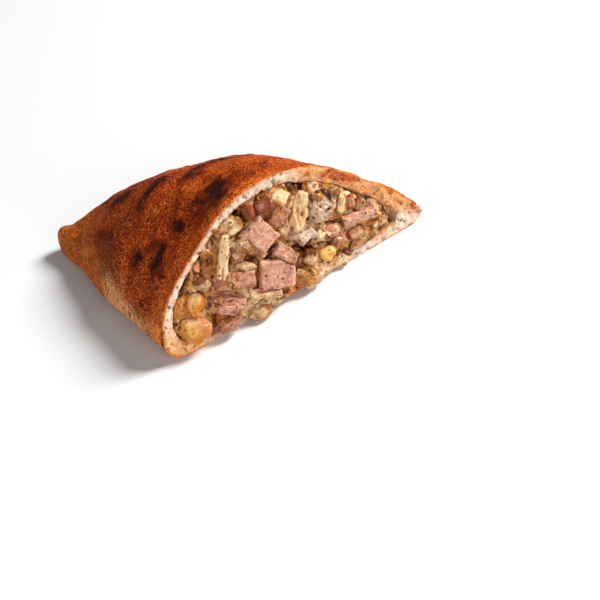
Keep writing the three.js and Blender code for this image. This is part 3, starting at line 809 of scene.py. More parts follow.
def crust_material(chosen):
    look = Look("Baked crust", chosen.golden, 0.7, subsurface=0.05, depth=1.5 * MM, shine=0.07)
    names = ("char", "tan", "gold", "cut", "torn", "stain")
    char, tan, gold, cut, torn, stain = [look.mask(name) for name in names]
    broad = look.mottle(70, 0.45, 0.14)
    streak = look.mottle(150, 0.5, 0.12, stretch=(0.35, 1, 1))
    upright = look.mottle(330, 0.48, 0.1, stretch=(1, 1, 0.18))
    fine_mask, fine = look.grain(1150, 0.7)
    coarse = look.grain(620, 0.5)[1]
    ragged, wander = fine - 0.5, coarse - 0.5

    look.lay(chosen.baked, look.mask("rust_brown_share"))
    look.lay(chosen.baked, look.mottle(260, 0.5, 0.14, (0.3, 0.1, 0.2)) * 0.35)
    look.lay(chosen.deep, broad * 0.6)
    look.lay(chosen.deep, streak * 0.38)
    browned = (look.mask("brown") + wander * 0.8).spread(0.05, 1.1, 0.0, 0.9)
    look.lay(chosen.deep, browned)
    # Paler skin, with painted highlights on the bright humps of the top.
    look.lay(chosen.golden, look.mask("pale") * 0.7)
    look.lay(chosen.tan, tan * 0.95)
    look.lay(chosen.bright_edge, gold * 0.9)
    light_skin = tan.most(gold)
    look.lay(chosen.deep, upright * 0.95 * light_skin)

    # Well browned parts carry fewer pale grains, and the tan parts carry paler ones.
    speckle = mixed(look.tree, tan, paint(chosen.speckle), paint(chosen.pale_speckle))
    fewer = (browned + broad * 0.4).spread(0.1, 1.0, 1.0, 0.38)
    patchy = (fewer * streak.spread(0.0, 1.0, 1.0, 0.55)).most(tan)
    look.lay(speckle, fine.spread(0.5, 0.57) * coarse.spread(0.42, 0.58, 0.25, 1.0) * patchy)
    dark_grain = fine.spread(0.49, 0.41, 0.0, 0.85).most(look.flakes(720, 0.3, 0.4, (0.2, 0.2, 0.1)) * 0.8)
    look.lay(chosen.deep, dark_grain * light_skin.spread(0.0, 1.0, 1.0, 0.5))
    look.lay(speckle, look.flakes(900, 0.36, 0.42) * 0.85 * patchy)
    look.lay(chosen.scorched, look.flakes(230, 0.14, 0.2, (0.1, 0.4, 0.3)) * 0.8)
    burnt = (char + (wander * 1.6 + ragged * 1.5)).spread(0.25, 1.0, 0.0, 0.96)
    look.lay(chosen.scorched, burnt * char.spread(0.0, 0.15))
    skin = look.colour

    pores = look.flakes(560, 0.45, 0.4)
    patch = look.mottle(240, 0.45, 0.12)
    look.base(chosen.crumb)
    look.lay(chosen.crumb_shade, patch * 0.5)
    # Painted shade: the crumb's pores and pushed-in bubbles are darkened inside.
    look.lay(chosen.pore_shade, pores * 0.35)
    look.lay(chosen.pore_shade, look.mask("hole") * 0.6)
    look.lay(chosen.peach, look.mask("peach") * 0.9)
    look.lay(chosen.toasted, stain * (stain + patch * 0.8).spread(0.35, 1.1))
    look.lay(chosen.torn, torn * 0.9)
    look.lay(chosen.toasted, torn * look.mottle(170, 0.42, 0.09, (0.2, 0.9, 0.4)) * 0.75)
    look.lay(chosen.crumb, torn * 0.4 * fine_mask)
    burnt_rim = look.mask("burnt_rim") + (wander * 2.0 + ragged * 3.0)
    look.lay(chosen.baked, burnt_rim.spread(0.3, 1.1, 0.0, 0.85))
    look.lay(chosen.toasted, (look.mask("cut_rim") + wander * 1.1).spread(0.25, 0.8, 0.0, 0.9))
    crumb = look.colour

    look.base(chosen.crumb_shade)
    look.lay(chosen.toasted, patch * 0.6)
    inside = look.colour
    look.colour = skin
    look.lay(crumb, cut)
    look.lay(inside, look.mask("inner"))
    look.lay(chosen.herbs, look.flakes(300, 0.14, 0.32, (0.5, 0.1, 0.6)) * look.mask("herby"))
    look.set("Roughness", fine_mask * 0.14 + 0.58 + cut * 0.22)
    return look.finish((coarse, 0.9 * MM), (fine, 0.7 * MM), (pores * cut, -0.6 * MM))


def hidden_scorches(places, normals):
    """Scorched spots over the side and back that face away from the cut's fold corner."""
    random = np.random.default_rng(61)
    seats = places[(normals[:, 2] > 0.15) & (places[:, 0] > -25 * MM) & (places[:, 1] > -25 * MM)] / MM
    spots = []
    for _ in range(HIDDEN_SPOTS):
        start = seats[random.integers(len(seats))]
        end = start + random.normal(0, 1.3, 3)
        spots.append((start, end, random.uniform(1.2, 4.6), random.uniform(0.4, 1.0)))
    return tuple(spots)


class CALZONE_OT_crust(bpy.types.Operator):
    """Bakes the crust: humps, blisters, scorched spots and an open crumb on the cut"""

    bl_idname = "calzone.crust"
    bl_label = "Baked crust"

    def execute(self, context):
        chosen = settings("crust")
        crust = self.even_shell(chosen.face_size)
        places, normals = places_and_normals(crust)
        gap = self.gap_to_cut(places)
        cut = (1 - ramp(gap, 0.5, 1.4)) * ramp(-normals[:, 1], 0.25, 0.7)
        filling = surface_tree(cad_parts["filling"])
        near_filling = np.array([filling.find_nearest(Vector(p), 3 * MM)[3] is not None for p in places])
        inner = near_filling * (1 - cut)
        outer = (1 - inner) * (1 - cut)
        skin = self.skin_masks(places, normals, gap, outer)
        crumb = self.crumb_masks(places, cut, inner, outer)
        write_masks(crust, cut=cut, inner=inner, **skin, **crumb)

        height = chosen.unevenness * noise(places, 26, 3, 2)
        height += chosen.blisters * noise(places, 8, 7, 3)
        height += 0.45 * chosen.blisters * noise(places, 2.4, 13, 2)
        height += 0.8 * chosen.blisters * noise(places * ALONG_CUT, 5, 14, 2)
        height += 0.5 * MM * skin["char"] - wrinkle_depth(places)
        height += chosen.shoulder * (1 - ramp(distance_to_line(places, *SHOULDER), 6, 30))
        height *= outer
        height += cut * 0.4 * MM * noise(places, 3, 17, 3)
        height += cut * crumb["torn"] * 0.9 * MM * noise(places, 5, 19, 3)
        height += inner * 0.7 * MM * noise(places, 5, 23, 2)
        height -= chosen.pores * crumb["hole"]
        on_floor = ramp(places[:, 2], 0.2 * MM, 2.0 * MM)
        move_vertices(crust, places + normals * (height * on_floor)[:, None])
        finish_piece(crust, crust_material(chosen), "crust", "crust")
        return {"FINISHED"}

    @staticmethod
    def gap_to_cut(places):
        """How far each point is from the cut, in mm."""
        return np.abs(places[:, 1] - cut_plane(places[:, 2])) / MM

    def even_shell(self, face_size):
        """The crust's solid with even faces, finer on the cut, its outside rounded and its rim kept."""
        crust = copy_of_node("crust", "baked_crust")
        round_facets(crust, 2, math.radians(45))
        remesh(crust, face_size)
        places, normals = places_and_normals(crust)
        refine(crust, (self.gap_to_cut(places) < 1.2) & (normals[:, 1] < -0.3))
        smooth(crust, 4)
        places = vertex_places(crust)
        smooth(crust, 25, ramp(self.gap_to_cut(places), 2, 7) * ramp(places[:, 2], 1 * MM, 4 * MM))
        return crust

    @staticmethod
    def skin_masks(places, normals, gap, outer):
        """Where the skin is scorched, browned, toasted, pale, tan or golden."""
        x, y, z = (places / MM).T
        hidden = hidden_scorches(places, normals)
        char = spot_mask(places, SCORCHED + hidden) * outer
        spots = spot_mask(places, BROWNED + hidden, 0.1, 2.3, 0.5, 9)
        brown = np.maximum(spots, 0.9 * ramp(noise(places, 11, 35, 3), 0.05, 0.85))

        # Low on the fold the skin is golden at the cut, tan behind it and orange further back.
        fold_side = ramp(-x, *FOLD)
        low_fold = 1 - ramp(z - 0.12 * (y + 20) + 4 * noise(places, 12, 33, 2), 15, 27)
        near_cut = ramp(-y + 5 * noise(places, 12, 36, 2), -14, 4)
        tan = low_fold * fold_side * near_cut * (1 - 0.85 * spots)
        tan = np.maximum(tan, 0.7 * (1 - ramp(z, 2, 9)) * (1 - fold_side))
        orange = 0.6 * low_fold * fold_side * (1 - near_cut)
        gold = 1 - ramp(y + 4 * soft_noise(places, 8, 34), -56, -44)
        gold = gold * (1 - ramp(z, 14, 40)) * fold_side
        far_tip = 0.5 * ramp(y, 48, 60)

        # The top is darker rust brown over the fold, and lighter towards the rim and beside the cut.
        rust_brown_share = 0.98 - 0.62 * ramp(x + 0.25 * y, -22, 30)
        rust_brown_share -= 0.45 * (1 - ramp(gap, 2, 16)) * outer
        rust_brown_share += 0.16 * noise(places, 14, 31) + 0.28 * noise(places * ALONG_CUT, 6, 32, 3)
        beside = (1 - ramp(gap, 3, 10)) * ramp(noise(places, 9, 21, 2), -0.5, 0.4)
        pale = np.maximum(spot_mask(places, PALE_AND_HIGHLIT, 0.2, 1.7, 0.7, 15), 0.85 * beside)
        return {
            "char": char,
            "brown": brown * outer * (1 - gold) * (1 - 0.7 * beside),
            "rust_brown_share": rust_brown_share,
            "tan": np.maximum(tan, 0.3 * far_tip) * (1 - 0.8 * gold),
            "gold": np.maximum(gold, np.maximum(0.5 * far_tip, 0.6 * orange)),
            "pale": pale * (1 - char) * outer,
        }

    def crumb_masks(self, places, cut, inner, outer):
        """Where the crumb on the cut is torn, stained, toasted at its rim, golden, open or herby."""
        x, _, z = (places / MM).T
        ragged = 5 * noise(places, 7, 39, 3)
        torn = ramp(x + ragged, 4, 34) * ramp(z + 0.25 * (x - 60) + 0.5 * ragged, 9, 17)
        greasy = self.nearness(places, cut, inner > 0.5, 0.2 * MM, 2.6 * MM) * 0.55
        return {
            "torn": torn,
            "stain": np.maximum(greasy, torn * (0.8 + 0.4 * soft_noise(places, 7, 37))),
            "cut_rim": self.nearness(places, cut, outer > 0.5, 0.2 * MM, 2.0 * MM),
            "burnt_rim": front_mask(places, BURNT_RIM, 16) * cut,
            "peach": ramp(-x, *FOLD) * (1 - ramp(z + ragged, 4, 30)),
            "hole": cut * self.pore_depth(places),
            "herby": ramp(x, 40, 52),
        }

    @staticmethod
    def nearness(places, of_mask, to_mask, near, far):
        """1 where a point of the first mask touches the second, and 0 from far away on."""
        tree = point_tree(places[to_mask])
        away = np.full(len(places), far)
        for index in np.nonzero(of_mask > 0.02)[0]:
            away[index] = tree.find(Vector(places[index]))[2]
        return 1 - ramp(away, near, far)

    @staticmethod
    def pore_depth(places):
        """From 0 to 1: how deep each point lies in a bubble of the crumb."""
        random = np.random.default_rng(11)
        low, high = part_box("crust")
        sizes = random.uniform(0.5, 1.7, PORES) * MM
        seats = []
        for _ in range(PORES):
            x, z = random.uniform(low.x, high.x), random.uniform(low.z, high.z)
            seats.append((x, cut_plane(z), z))
        tree = point_tree(seats)
        depth = np.zeros(len(places))
        for index in np.nonzero(places[:, 1] < CUT_Y + 2 * MM)[0]:
            _, seed, away = tree.find(Vector(places[index]))
            depth[index] = max(0.0, 1 - (away / sizes[seed]) ** 2)
        return depth


# ---------------------------------------------------------------- filling

SHAPED = []
# Pieces that carry little sauce and painted shade at their borders, and that the mass doesn't run over.
CLEAN = {"cooked_" + node for node in ("cheese_curl", "onion_long", "cheese_lumps", "ham_large", "ham_cube",
                                       "ham_roll", "ham_folded", "onion_a")}
# How much of the mass is each kind of food.
CHOPPED = {"cream": 0.48, "ham": 0.23, "mushroom": 0.14, "amber": 0.15}


def filling_material(chosen):
    look = Look("Creamy filling", chosen.cream, 0.3, subsurface=0.1, depth=1.2 * MM)
    tone = look.mask("tone")
    creamy = look.mottle(300, 0.5, 0.14)
    grain = look.grain(1000, 0.6)[1]
    look.lay(chosen.amber, creamy * 0.45)
    look.lay(chosen.ham, look.mask("ham") * 0.9)
    look.lay(chosen.mushroom, look.mask("mushroom") * 0.9)
    look.lay(chosen.white, tone.spread(0.55, 1.0, 0.0, 0.6))
    look.lay(chosen.juice_and_crevice_shade, tone.spread(0.45, 0.0, 0.0, 0.6))
    look.lay(chosen.amber, look.mask("amber") * 0.85)
    look.lay(chosen.white, look.mask("white") * 0.85)
    # Painted shade in the seams, low parts, hollows and gaps of the mass and beside the larger pieces.
    look.lay(chosen.juice_and_crevice_shade, (look.mask("juice_and_crevice_shade") + (grain - 0.5) * 0.9).spread(0.15, 0.9, 0.0, 0.95))
    look.lay(chosen.specks, look.flakes(520, 0.18, 0.3) * 0.8)
    wet = look.mottle(300, 0.5, 0.12, (0.7, 0.2, 0.5))
    look.set("Roughness", wet.spread(0.0, 1.0, 0.14, 0.42))
    look.set("Coat Weight", wet * 0.5)
    return look.finish((creamy, 0.25 * MM), (grain, 0.45 * MM))


class CALZONE_OT_filling(bpy.types.Operator):
    """Makes the mass of chopped ham, mushroom and melted cheese that the larger pieces are bedded in"""

    bl_idname = "calzone.filling"
    bl_label = "Chopped filling"

    def execute(self, context):
        chosen = settings("filling")
        filling = self.bedded_mass(chosen)
        places, normals = places_and_normals(filling)
        front = 1 - ramp(places[:, 1], CUT_Y + FRONT_DEPTH, CUT_Y + 2 * FRONT_DEPTH)
        beside = self.gap_to_pieces(places, front)
        free = ramp(beside, 0.3 * MM, 2.2 * MM)

        chunk, kind, tone, border = self.chopped(
            places, front, count=300, seed=29, lift=chosen.chunks)
        crumb, _, fine_tone, _ = self.chopped(
            places, front, count=1500, seed=31, lift=0.4 * chosen.chunks)
        juicy = np.maximum(front_mask(places, JUICES), 0.8 * ramp(noise(places, 7, 63, 2), 0.3, 0.8))
        melted = np.maximum(front_mask(places, CREAM_PATCHES, 8),
                            ramp(noise(places, 8, 61, 2), 0.25, 0.6))
        gaps = front_mask(places, GAPS, 9)
        hollows = np.maximum(ramp(soft_noise(places, 6, 57), 0.0, 0.8) * free, gaps)
        covered = np.maximum(melted, 0.7 * juicy)

        height = (0.25 + 0.75 * free) * (chunk + crumb) * (1 - 0.75 * covered)
        height += 0.22 * MM * noise(places, 1.6, 47, 2) * (1 - 0.6 * covered)
        height += 0.5 * MM * melted - 2.0 * MM * hollows - 2.5 * MM * gaps
        # Painted shade: the seams between chips, the low parts, hollows and gaps and the edges of the larger
        # pieces are darkened.
        shade_beside_pieces = (1 - ramp(beside, 0.1 * MM, 0.9 * MM)) * ramp(soft_noise(places, 4, 59), -0.2, 0.5)
        seam_shade = (1 - ramp(border, 0.05 * MM, 0.6 * MM)) * (1 - covered)
        low = ramp(-chunk - crumb, 0.2 * chosen.chunks, 1.5 * chosen.chunks) * (1 - covered)
        masks = {food: (kind == index) * (1 - covered) for index, food in enumerate(CHOPPED)}
        del masks["cream"]
        masks["amber"] = np.maximum(masks["amber"], juicy)
        masks["white"] = melted * (1 - hollows)
        masks["juice_and_crevice_shade"] = 0.45 * seam_shade + 0.6 * low + 0.85 * hollows + 0.7 * shade_beside_pieces + 0.6 * gaps
        masks["tone"] = 0.5 + (0.65 * tone + 0.35 * fine_tone - 0.5) * (1 - 0.7 * covered)
        write_masks(filling, **{name: np.clip(values, 0, 1) * front for name, values in masks.items()})

        moved = places + normals * (front * height)[:, None]
        move_vertices(filling, self.raised_to_crust(moved, normals, front * (1 - gaps)), 0.3 * MM)
        self.spread_sauce(filling)
        finish_piece(filling, filling_material(chosen), "filling", "filling")
        SHAPED.append(filling)
        return {"FINISHED"}

    @staticmethod
    def chopped(places, front, count, seed, lift):
        """Breaks the front into tilted chips: each point's height, kind, tone and distance from a border."""
        random = np.random.default_rng(seed)
        seats = places[random.choice(np.nonzero(front > 0.5)[0], count, replace=False)]
        kinds = random.choice(len(CHOPPED), count, p=list(CHOPPED.values()))
        tones, lifts = random.random(count), random.uniform(-1, 1, count)
        tilts = random.normal(0, 0.4, (count, 3))
        tree = point_tree(seats)
        bent = places + 0.9 * MM * np.stack([soft_noise(places, 2.2, s) for s in (41, 42, 43)], axis=1)
        chip = np.zeros(len(places), int)
        border = np.zeros(len(places))
        for index in np.nonzero(front > 0)[0]:
            (_, first, near), (_, _, far) = tree.find_n(Vector(bent[index]), 2)
            chip[index] = first
            border[index] = far - near
        slope = ((bent - seats[chip]) * tilts[chip]).sum(1)
        height = lift * np.clip(lifts[chip] + slope / MM, -1.6, 1.6)
        return height, kinds[chip], tones[chip], border

    @staticmethod
    def spread_sauce(filling):
        """Marks where sauce from the mass creeps over the edges of the pieces bedded in it, darkening them as
        painted shade where they meet the mass.
        """
        mass = surface_tree(filling)
        for piece in SHAPED:
            places = vertex_places(piece)
            gap = np.array([mass.find_nearest(Vector(p))[3] for p in places])
            gap += 0.35 * MM * noise(places, 3, 73, 2)
            share = 0.45 if piece.name in CLEAN else 1.0
            write_masks(piece, sauce=share * (1 - ramp(gap, 0.0, 0.9 * MM)))

    @staticmethod
    def gap_to_pieces(places, front):
        """How far each point at the front is from the nearest larger piece, up to a limit."""
        limit = 5 * MM
        tree = point_tree(np.concatenate([vertex_places(piece)[::2] for piece in SHAPED]))
        gap = np.full(len(places), limit)
        for index in np.nonzero(front > 0)[0]:
            gap[index] = min(limit, tree.find(Vector(places[index]))[2])
        return gap

    @staticmethod
    def bedded_mass(chosen):
        """The core and the shrunken pieces as one skin, so that the mass fills the gaps between them."""
        filling = copy_of_node("filling", "chopped_filling")
        shape = bmesh.new()
        shape.from_mesh(filling.data)
        for piece in SHAPED:
            shrunk = piece.data.copy()
            places, normals = places_and_normals(piece)
            cover = 1 + 2.2 * noise(places, 5, 67, 2)
            if piece.name in CLEAN:
                cover = np.maximum(cover, 1)
            places = places - normals * (chosen.bedding * cover)[:, None]
            places[:, 1] += 0.35 * MM
            shrunk.vertices.foreach_set("co", places.astype(np.float32).ravel())
            shape.from_mesh(shrunk)
            bpy.data.meshes.remove(shrunk)
        shape.to_mesh(filling.data)
        shape.free()
        remesh(filling, chosen.face_size * 2)
        smooth(filling, 4)
        places, normals = places_and_normals(filling)
        refine(filling, (places[:, 1] < CUT_Y + 8 * MM) & (normals[:, 1] < 0.5))
        smooth(filling, 1)
        return filling

    @staticmethod
    def raised_to_crust(places, normals, front):
        """Lifts the top of the mass towards the crust over it, in uneven strings and patches."""
        reach, clearance = 9 * MM, 0.25 * MM
        crust = surface_tree(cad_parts["crust"])
        sticks = ramp(soft_noise(places, 9, 53) + 0.5 * soft_noise(places, 3, 54), -0.45, 0.1)
        moved = places.copy()
        for index in np.nonzero((front > 0.3) & (normals[:, 2] > 0.15))[0]:
            gap = crust.ray_cast(Vector(places[index]), Vector((0, 0, 1)), reach)[3]
            if gap is not None:
                share = min(1.0, (normals[index, 2] - 0.15) / 0.4) * front[index] * sticks[index]
                moved[index, 2] += share * max(0.0, gap - clearance)
        return moved


# ---------------------------------------------------------------- pieces of food

def square_axes(points):
    """The middle of a flat piece, and its directions along its straight sides and through its face."""
    middle, axes = own_axes(points)
    flat = (points - middle) @ axes[:, :2]
    best = min(np.radians(np.arange(0, 90, 3)), key=lambda turn: np.prod(np.ptp(
        flat @ np.array([[np.cos(turn), -np.sin(turn)], [np.sin(turn), np.cos(turn)]]), axis=0)))
    along = axes[:, 0] * np.cos(best) + axes[:, 1] * np.sin(best)
    normal = axes[:, 2]
    return middle, np.stack([along, np.cross(normal, along), normal], axis=1)


def draw_out_corners(piece, amount):
    """Pulls the corners of a diced piece outwards, so that it looks cut with a knife."""
    places = vertex_places(piece)
    middle, axes = square_axes(places)
    local = (places - middle) @ axes
    share = np.abs(local) / np.abs(local).max(0)
    corner = ramp(share[:, 0], 0.5, 0.95) * ramp(share[:, 1], 0.5, 0.95)
    local[:, :2] += np.sign(local[:, :2]) * (amount * corner)[:, None]
    move_vertices(piece, middle + local @ axes.T)


def shaped_piece(node, voxel, relax, heights, corners=0.0):
    """A piece of food cut to the node's solid, with relief from heights(places, local) in metres."""
    piece = copy_of_node(node, "cooked_" + node)
    remesh(piece, voxel)
    smooth(piece, relax)
    if corners > 0:
        draw_out_corners(piece, corners)
    places, normals = places_and_normals(piece)
    middle, axes = own_axes(places)
    local = (places - middle) @ axes
    relief = heights(places, local)
    move_vertices(piece, places + normals * relief[:, None], 0.2 * MM)
    SHAPED.append(piece)
    return piece, places, local, relief


def ham_material(chosen):
    look = Look("Cooked ham", chosen.tan, 0.42, subsurface=0.15, depth=1.5 * MM, tint=(1.0, 0.45, 0.35))
    patch = look.mottle(230, 0.5, 0.15)
    grain_mask, grain = look.grain(1200, 0.7)
    look.lay(chosen.pink, look.mask("pink"))
    look.lay(chosen.tan, patch * 0.35)
    look.lay(chosen.fat_and_edge_highlight, grain_mask * 0.32)
    look.lay(chosen.fat_and_edge_highlight, look.mottle(520, 0.36, 0.07, (0.3, 0.8, 0.2)) * 0.5)
    # Painted highlight: pale streaks along the edges of the diced pieces.
    look.lay(chosen.fat_and_edge_highlight, look.mask("edge") * 0.6)
    look.lay(chosen.browned, look.flakes(420, 0.22, 0.34, (0.6, 0.2, 0.8)) * 0.75)
    look.lay(chosen.browned, look.mask("browned") * 0.92)
    look.dress(chosen.juice_and_shade, 0.14)
    look.set("Roughness", patch.spread(0.0, 1.0, 0.26, 0.5))
    return look.finish((grain, 0.3 * MM), (patch, 0.15 * MM))


class CALZONE_OT_ham(bpy.types.Operator):
    """Makes the diced, rolled and crumbled ham"""

    bl_idname = "calzone.ham"
    bl_label = "Ham"

    def execute(self, context):
        chosen = settings("ham")
        material = ham_material(chosen)
        cooked = {"ham_disc", "ham_amber", "ham_bits", "ham_crumbled", "ham_layers"}
        for seed, (node, (pink, browned, crumbly, corners)) in enumerate(HAM.items()):

            def heights(places, local):
                fibres = noise(local * (0.4, 1.6, 1.6), 2.2, 100 + seed, 2)
                shreds = ridges(local * (0.35, 1.2, 1.2), 2.8, 130 + seed, 3)
                relief = (0.08 + 0.25 * crumbly) * MM * fibres + (0.03 + 0.95 * crumbly) * MM * shreds
                if node == "ham_roll":
                    along = np.abs(local[:, 0])
                    turn = np.hypot(local[:, 1], local[:, 2])
                    relief += 0.3 * MM * np.cos(turn / MM * 4.5) * ramp(along / along.max(), 0.85, 0.97)
                return relief

            piece, places, local, relief = shaped_piece(node, chosen.face_size, 1, heights, corners * MM)
            # Painted shade: the valleys of the relief are browned darker.
            valley = ramp(-relief, 0.0, (0.25 + 0.9 * crumbly) * MM)
            uneven = noise(places, 5, 160 + seed, 3)
            browning_and_shade = browned + 0.35 * noise(places, 4, 190 + seed, 3) + 0.6 * valley * (0.3 + crumbly)
            # The edge mask carries a painted highlight along the edges of the diced pieces.
            edge = self.edge_highlights(places, seed) if corners else 0
            write_masks(piece, pink=pink + 0.3 * uneven, browned=browning_and_shade, edge=edge)
            finish_piece(piece, material, "cooked_ham" if node in cooked else "ham", node)
        return {"FINISHED"}

    @staticmethod
    def edge_highlights(places, seed):
        """How near each point of a diced piece is to an edge of its face, in broken stretches, where a
        painted highlight runs along the edges.
        """
        middle, axes = square_axes(places)
        share = np.abs((places - middle) @ axes)
        share = share / share.max(0)
        edge = ramp(np.maximum(share[:, 0], share[:, 1]), 0.66, 0.96)
        return edge * ramp(noise(places, 4, 170 + seed, 2), -0.3, 0.5)


def mushroom_material(chosen):
    look = Look("Cooked mushroom", chosen.flesh, 0.4, subsurface=0.1, depth=1.2 * MM)
    grain_mask, grain = look.grain(1100, 0.7)
    patch = look.mottle(350, 0.4, 0.12)
    look.lay(chosen.grey, look.mask("grey"))
    look.lay(chosen.skin, patch * 0.25)
    look.lay(chosen.pale, grain_mask * 0.25)
    look.lay(chosen.skin, look.mask("skin"))
    look.lay(chosen.gills, look.mask("gills"))
    look.dress(chosen.juice_and_shade, 0.18)
    look.set("Roughness", patch.spread(0.0, 1.0, 0.22, 0.5))
    return look.finish((grain, 0.35 * MM))


class CALZONE_OT_mushroom(bpy.types.Operator):
    """Makes the sliced and chopped mushrooms"""

    bl_idname = "calzone.mushroom"
    bl_label = "Mushroom"

    def execute(self, context):
        chosen = settings("mushroom")
        material = mushroom_material(chosen)
        for seed, (node, (grey, skin, crinkled)) in enumerate(MUSHROOM.items()):

            def heights(places, local):
                crinkle = ridges(places, 3.0, 210 + seed, 3)
                return 0.15 * MM * noise(places, 1.5, 230 + seed, 2) + 0.9 * MM * crinkled * crinkle

            piece, places, local, relief = shaped_piece(node, chosen.face_size, 1, heights)
            valley = ramp(-relief, 0.0, (0.15 + 0.8 * crinkled) * MM)
            top = ramp(places[:, 2], *np.quantile(places[:, 2], [0.62, 0.9]))
            uneven = noise(places, 3.5, 250 + seed, 3)
            # Painted shade: the valleys of the crinkles take more of the brown skin.
            skin_and_shade = skin * (0.35 + 1.3 * top) + 0.35 * uneven - 0.1 + 0.7 * valley * (0.3 + crinkled)
            gills = front_mask(places, [GILLS], 12) if node == "mushroom_cap" else 0
            folds = ramp(np.sin(places[:, 0] / MM * 5 + 2 * soft_noise(places, 3, 270)), -0.6, 0.4)
            gills = gills * (0.55 + 0.45 * folds)
            write_masks(piece, grey=grey + 0.4 * uneven, skin=skin_and_shade, gills=gills)
            finish_piece(piece, material, "mushroom", node)
        return {"FINISHED"}


def onion_material(chosen):
    look = Look("Soft onion", chosen.clear, 0.22, subsurface=0.3, depth=2.0 * MM, tint=(1.0, 0.7, 0.4))
    streak = look.mottle(500, 0.4, 0.15)
    look.lay(chosen.browned, look.mask("browned"))
    look.lay(chosen.browned, streak * 0.25)
    look.dress(chosen.juice_and_shade, 0.08)
    return look.finish((streak, 0.12 * MM))


class CALZONE_OT_onion(bpy.types.Operator):
    """Makes the soft strips of onion"""

    bl_idname = "calzone.onion"
    bl_label = "Onion"

    def execute(self, context):
        chosen = settings("onion")
        material = onion_material(chosen)
        for seed, (node, browned) in enumerate(ONION.items()):

            def heights(places, local):
                ribs = np.cos(local[:, 1] / MM * 4.2 + 2 * soft_noise(places, 6, 310 + seed))
                relief = 0.05 * MM * ribs + 0.25 * MM * noise(places, 3, 330 + seed, 2)
                if node == "onion_long":
                    down = places[:, 2].max() - places[:, 2]
                    fork = ramp(down / down.max(), 0.5, 0.75)
                    relief -= 1.1 * MM * fork * (1 - ramp(np.abs(local[:, 1]), 0.2 * MM, 0.8 * MM))
                return relief

            piece, places, local, relief = shaped_piece(node, chosen.face_size, 2, heights)
            ends = ramp(np.abs(local[:, 0]), *(np.abs(local[:, 0]).max() * np.array([0.5, 1.0])))
            uneven = noise(places, 4, 350 + seed, 3)
            # Painted shade: the hollows of the relief are browned darker.
            browning_and_shade = browned * (0.6 + 0.8 * ends) + 0.3 * uneven + 0.5 * ramp(-relief, 0.2 * MM, 0.9 * MM)
            write_masks(piece, browned=browning_and_shade)
            finish_piece(piece, material, "onion", node)
        return {"FINISHED"}


def cheese_material(chosen):
    look = Look("Melted cheese", chosen.white, 0.28, subsurface=0.25, depth=2.0 * MM, tint=(1.0, 0.7, 0.35))
    patch = look.mottle(260, 0.5, 0.18)
    look.lay(chosen.yellow, look.mask("yellow"))
    look.lay(chosen.yellow, patch * 0.2)
    look.lay(chosen.dull, look.mask("dull"))
    look.lay(chosen.oil, look.mask("oil"))
    look.lay(chosen.herbs, look.flakes(520, 0.35, 0.32, (0.4, 0.4, 0.1)) * look.mask("herbs"))
    look.dress(chosen.juice_and_shade, 0.06)
    look.set("Roughness", patch.spread(0.0, 1.0, 0.14, 0.36))
    return look.finish((look.grain(900, 0.6)[1], 0.14 * MM))


class CALZONE_OT_cheese(bpy.types.Operator):
    """Makes the melted, draped and lumpy cheese"""

    bl_idname = "calzone.cheese"
    bl_label = "Cheese"

    def execute(self, context):
        chosen = settings("cheese")
        material = cheese_material(chosen)
        stringy = {"cheese_drape": 0.9, "cheese_under": 0.7, "cheese_white": 0.5, "cheese_slab": 0.35}
        for seed, (node, (yellow, oil, dull, lumps, herbs)) in enumerate(CHEESE.items()):

            def heights(places, local):
                relief = lumps * MM * noise(places, 4.0, 410 + seed, 3, 0.45)
                relief += stringy.get(node, 0.05) * MM * ridges(local * (0.25, 1.0, 1.0), 2.6, 450 + seed, 2)
                if node == "cheese_curl":
                    away = np.linalg.norm(local[:, :2], axis=1) / MM
                    relief += 0.35 * MM * (ramp(away, 1.0, 6.0) - 0.2)
                return relief

            piece, places, local, relief = shaped_piece(node, chosen.face_size, 3, heights)
            valley = ramp(-relief, 0.05 * MM, (0.3 + lumps) * MM)
            uneven = noise(places, 5, 430 + seed, 3)
            edge = ramp(np.abs(local[:, 1]), *(np.abs(local[:, 1]).max() * np.array([0.45, 0.95])))
            if node == "cheese_curl":
                across, _, up = ((places - places.mean(0)) / MM).T
                yellow = yellow * (1 - 0.85 * ramp(0.8 * across + up + 1.5 * uneven, 1.5, 6))
            # In the valleys the cheese is laid yellower, duller and oilier: oil that gathers there, and
            # painted shade.
            write_masks(
                piece,
                yellow=yellow + 0.3 * uneven + 0.2 * valley,
                oil=oil * (0.35 + edge + valley) + 0.45 * oil * uneven,
                dull=dull * (1 + 0.9 * uneven) + 0.3 * dull * valley,
                herbs=herbs,
            )
            slot = "amber_cheese" if node == "cheese_amber" else "cheese"
            finish_piece(piece, material, slot, node)
        return {"FINISHED"}


# ---------------------------------------------------------------- sprinkles

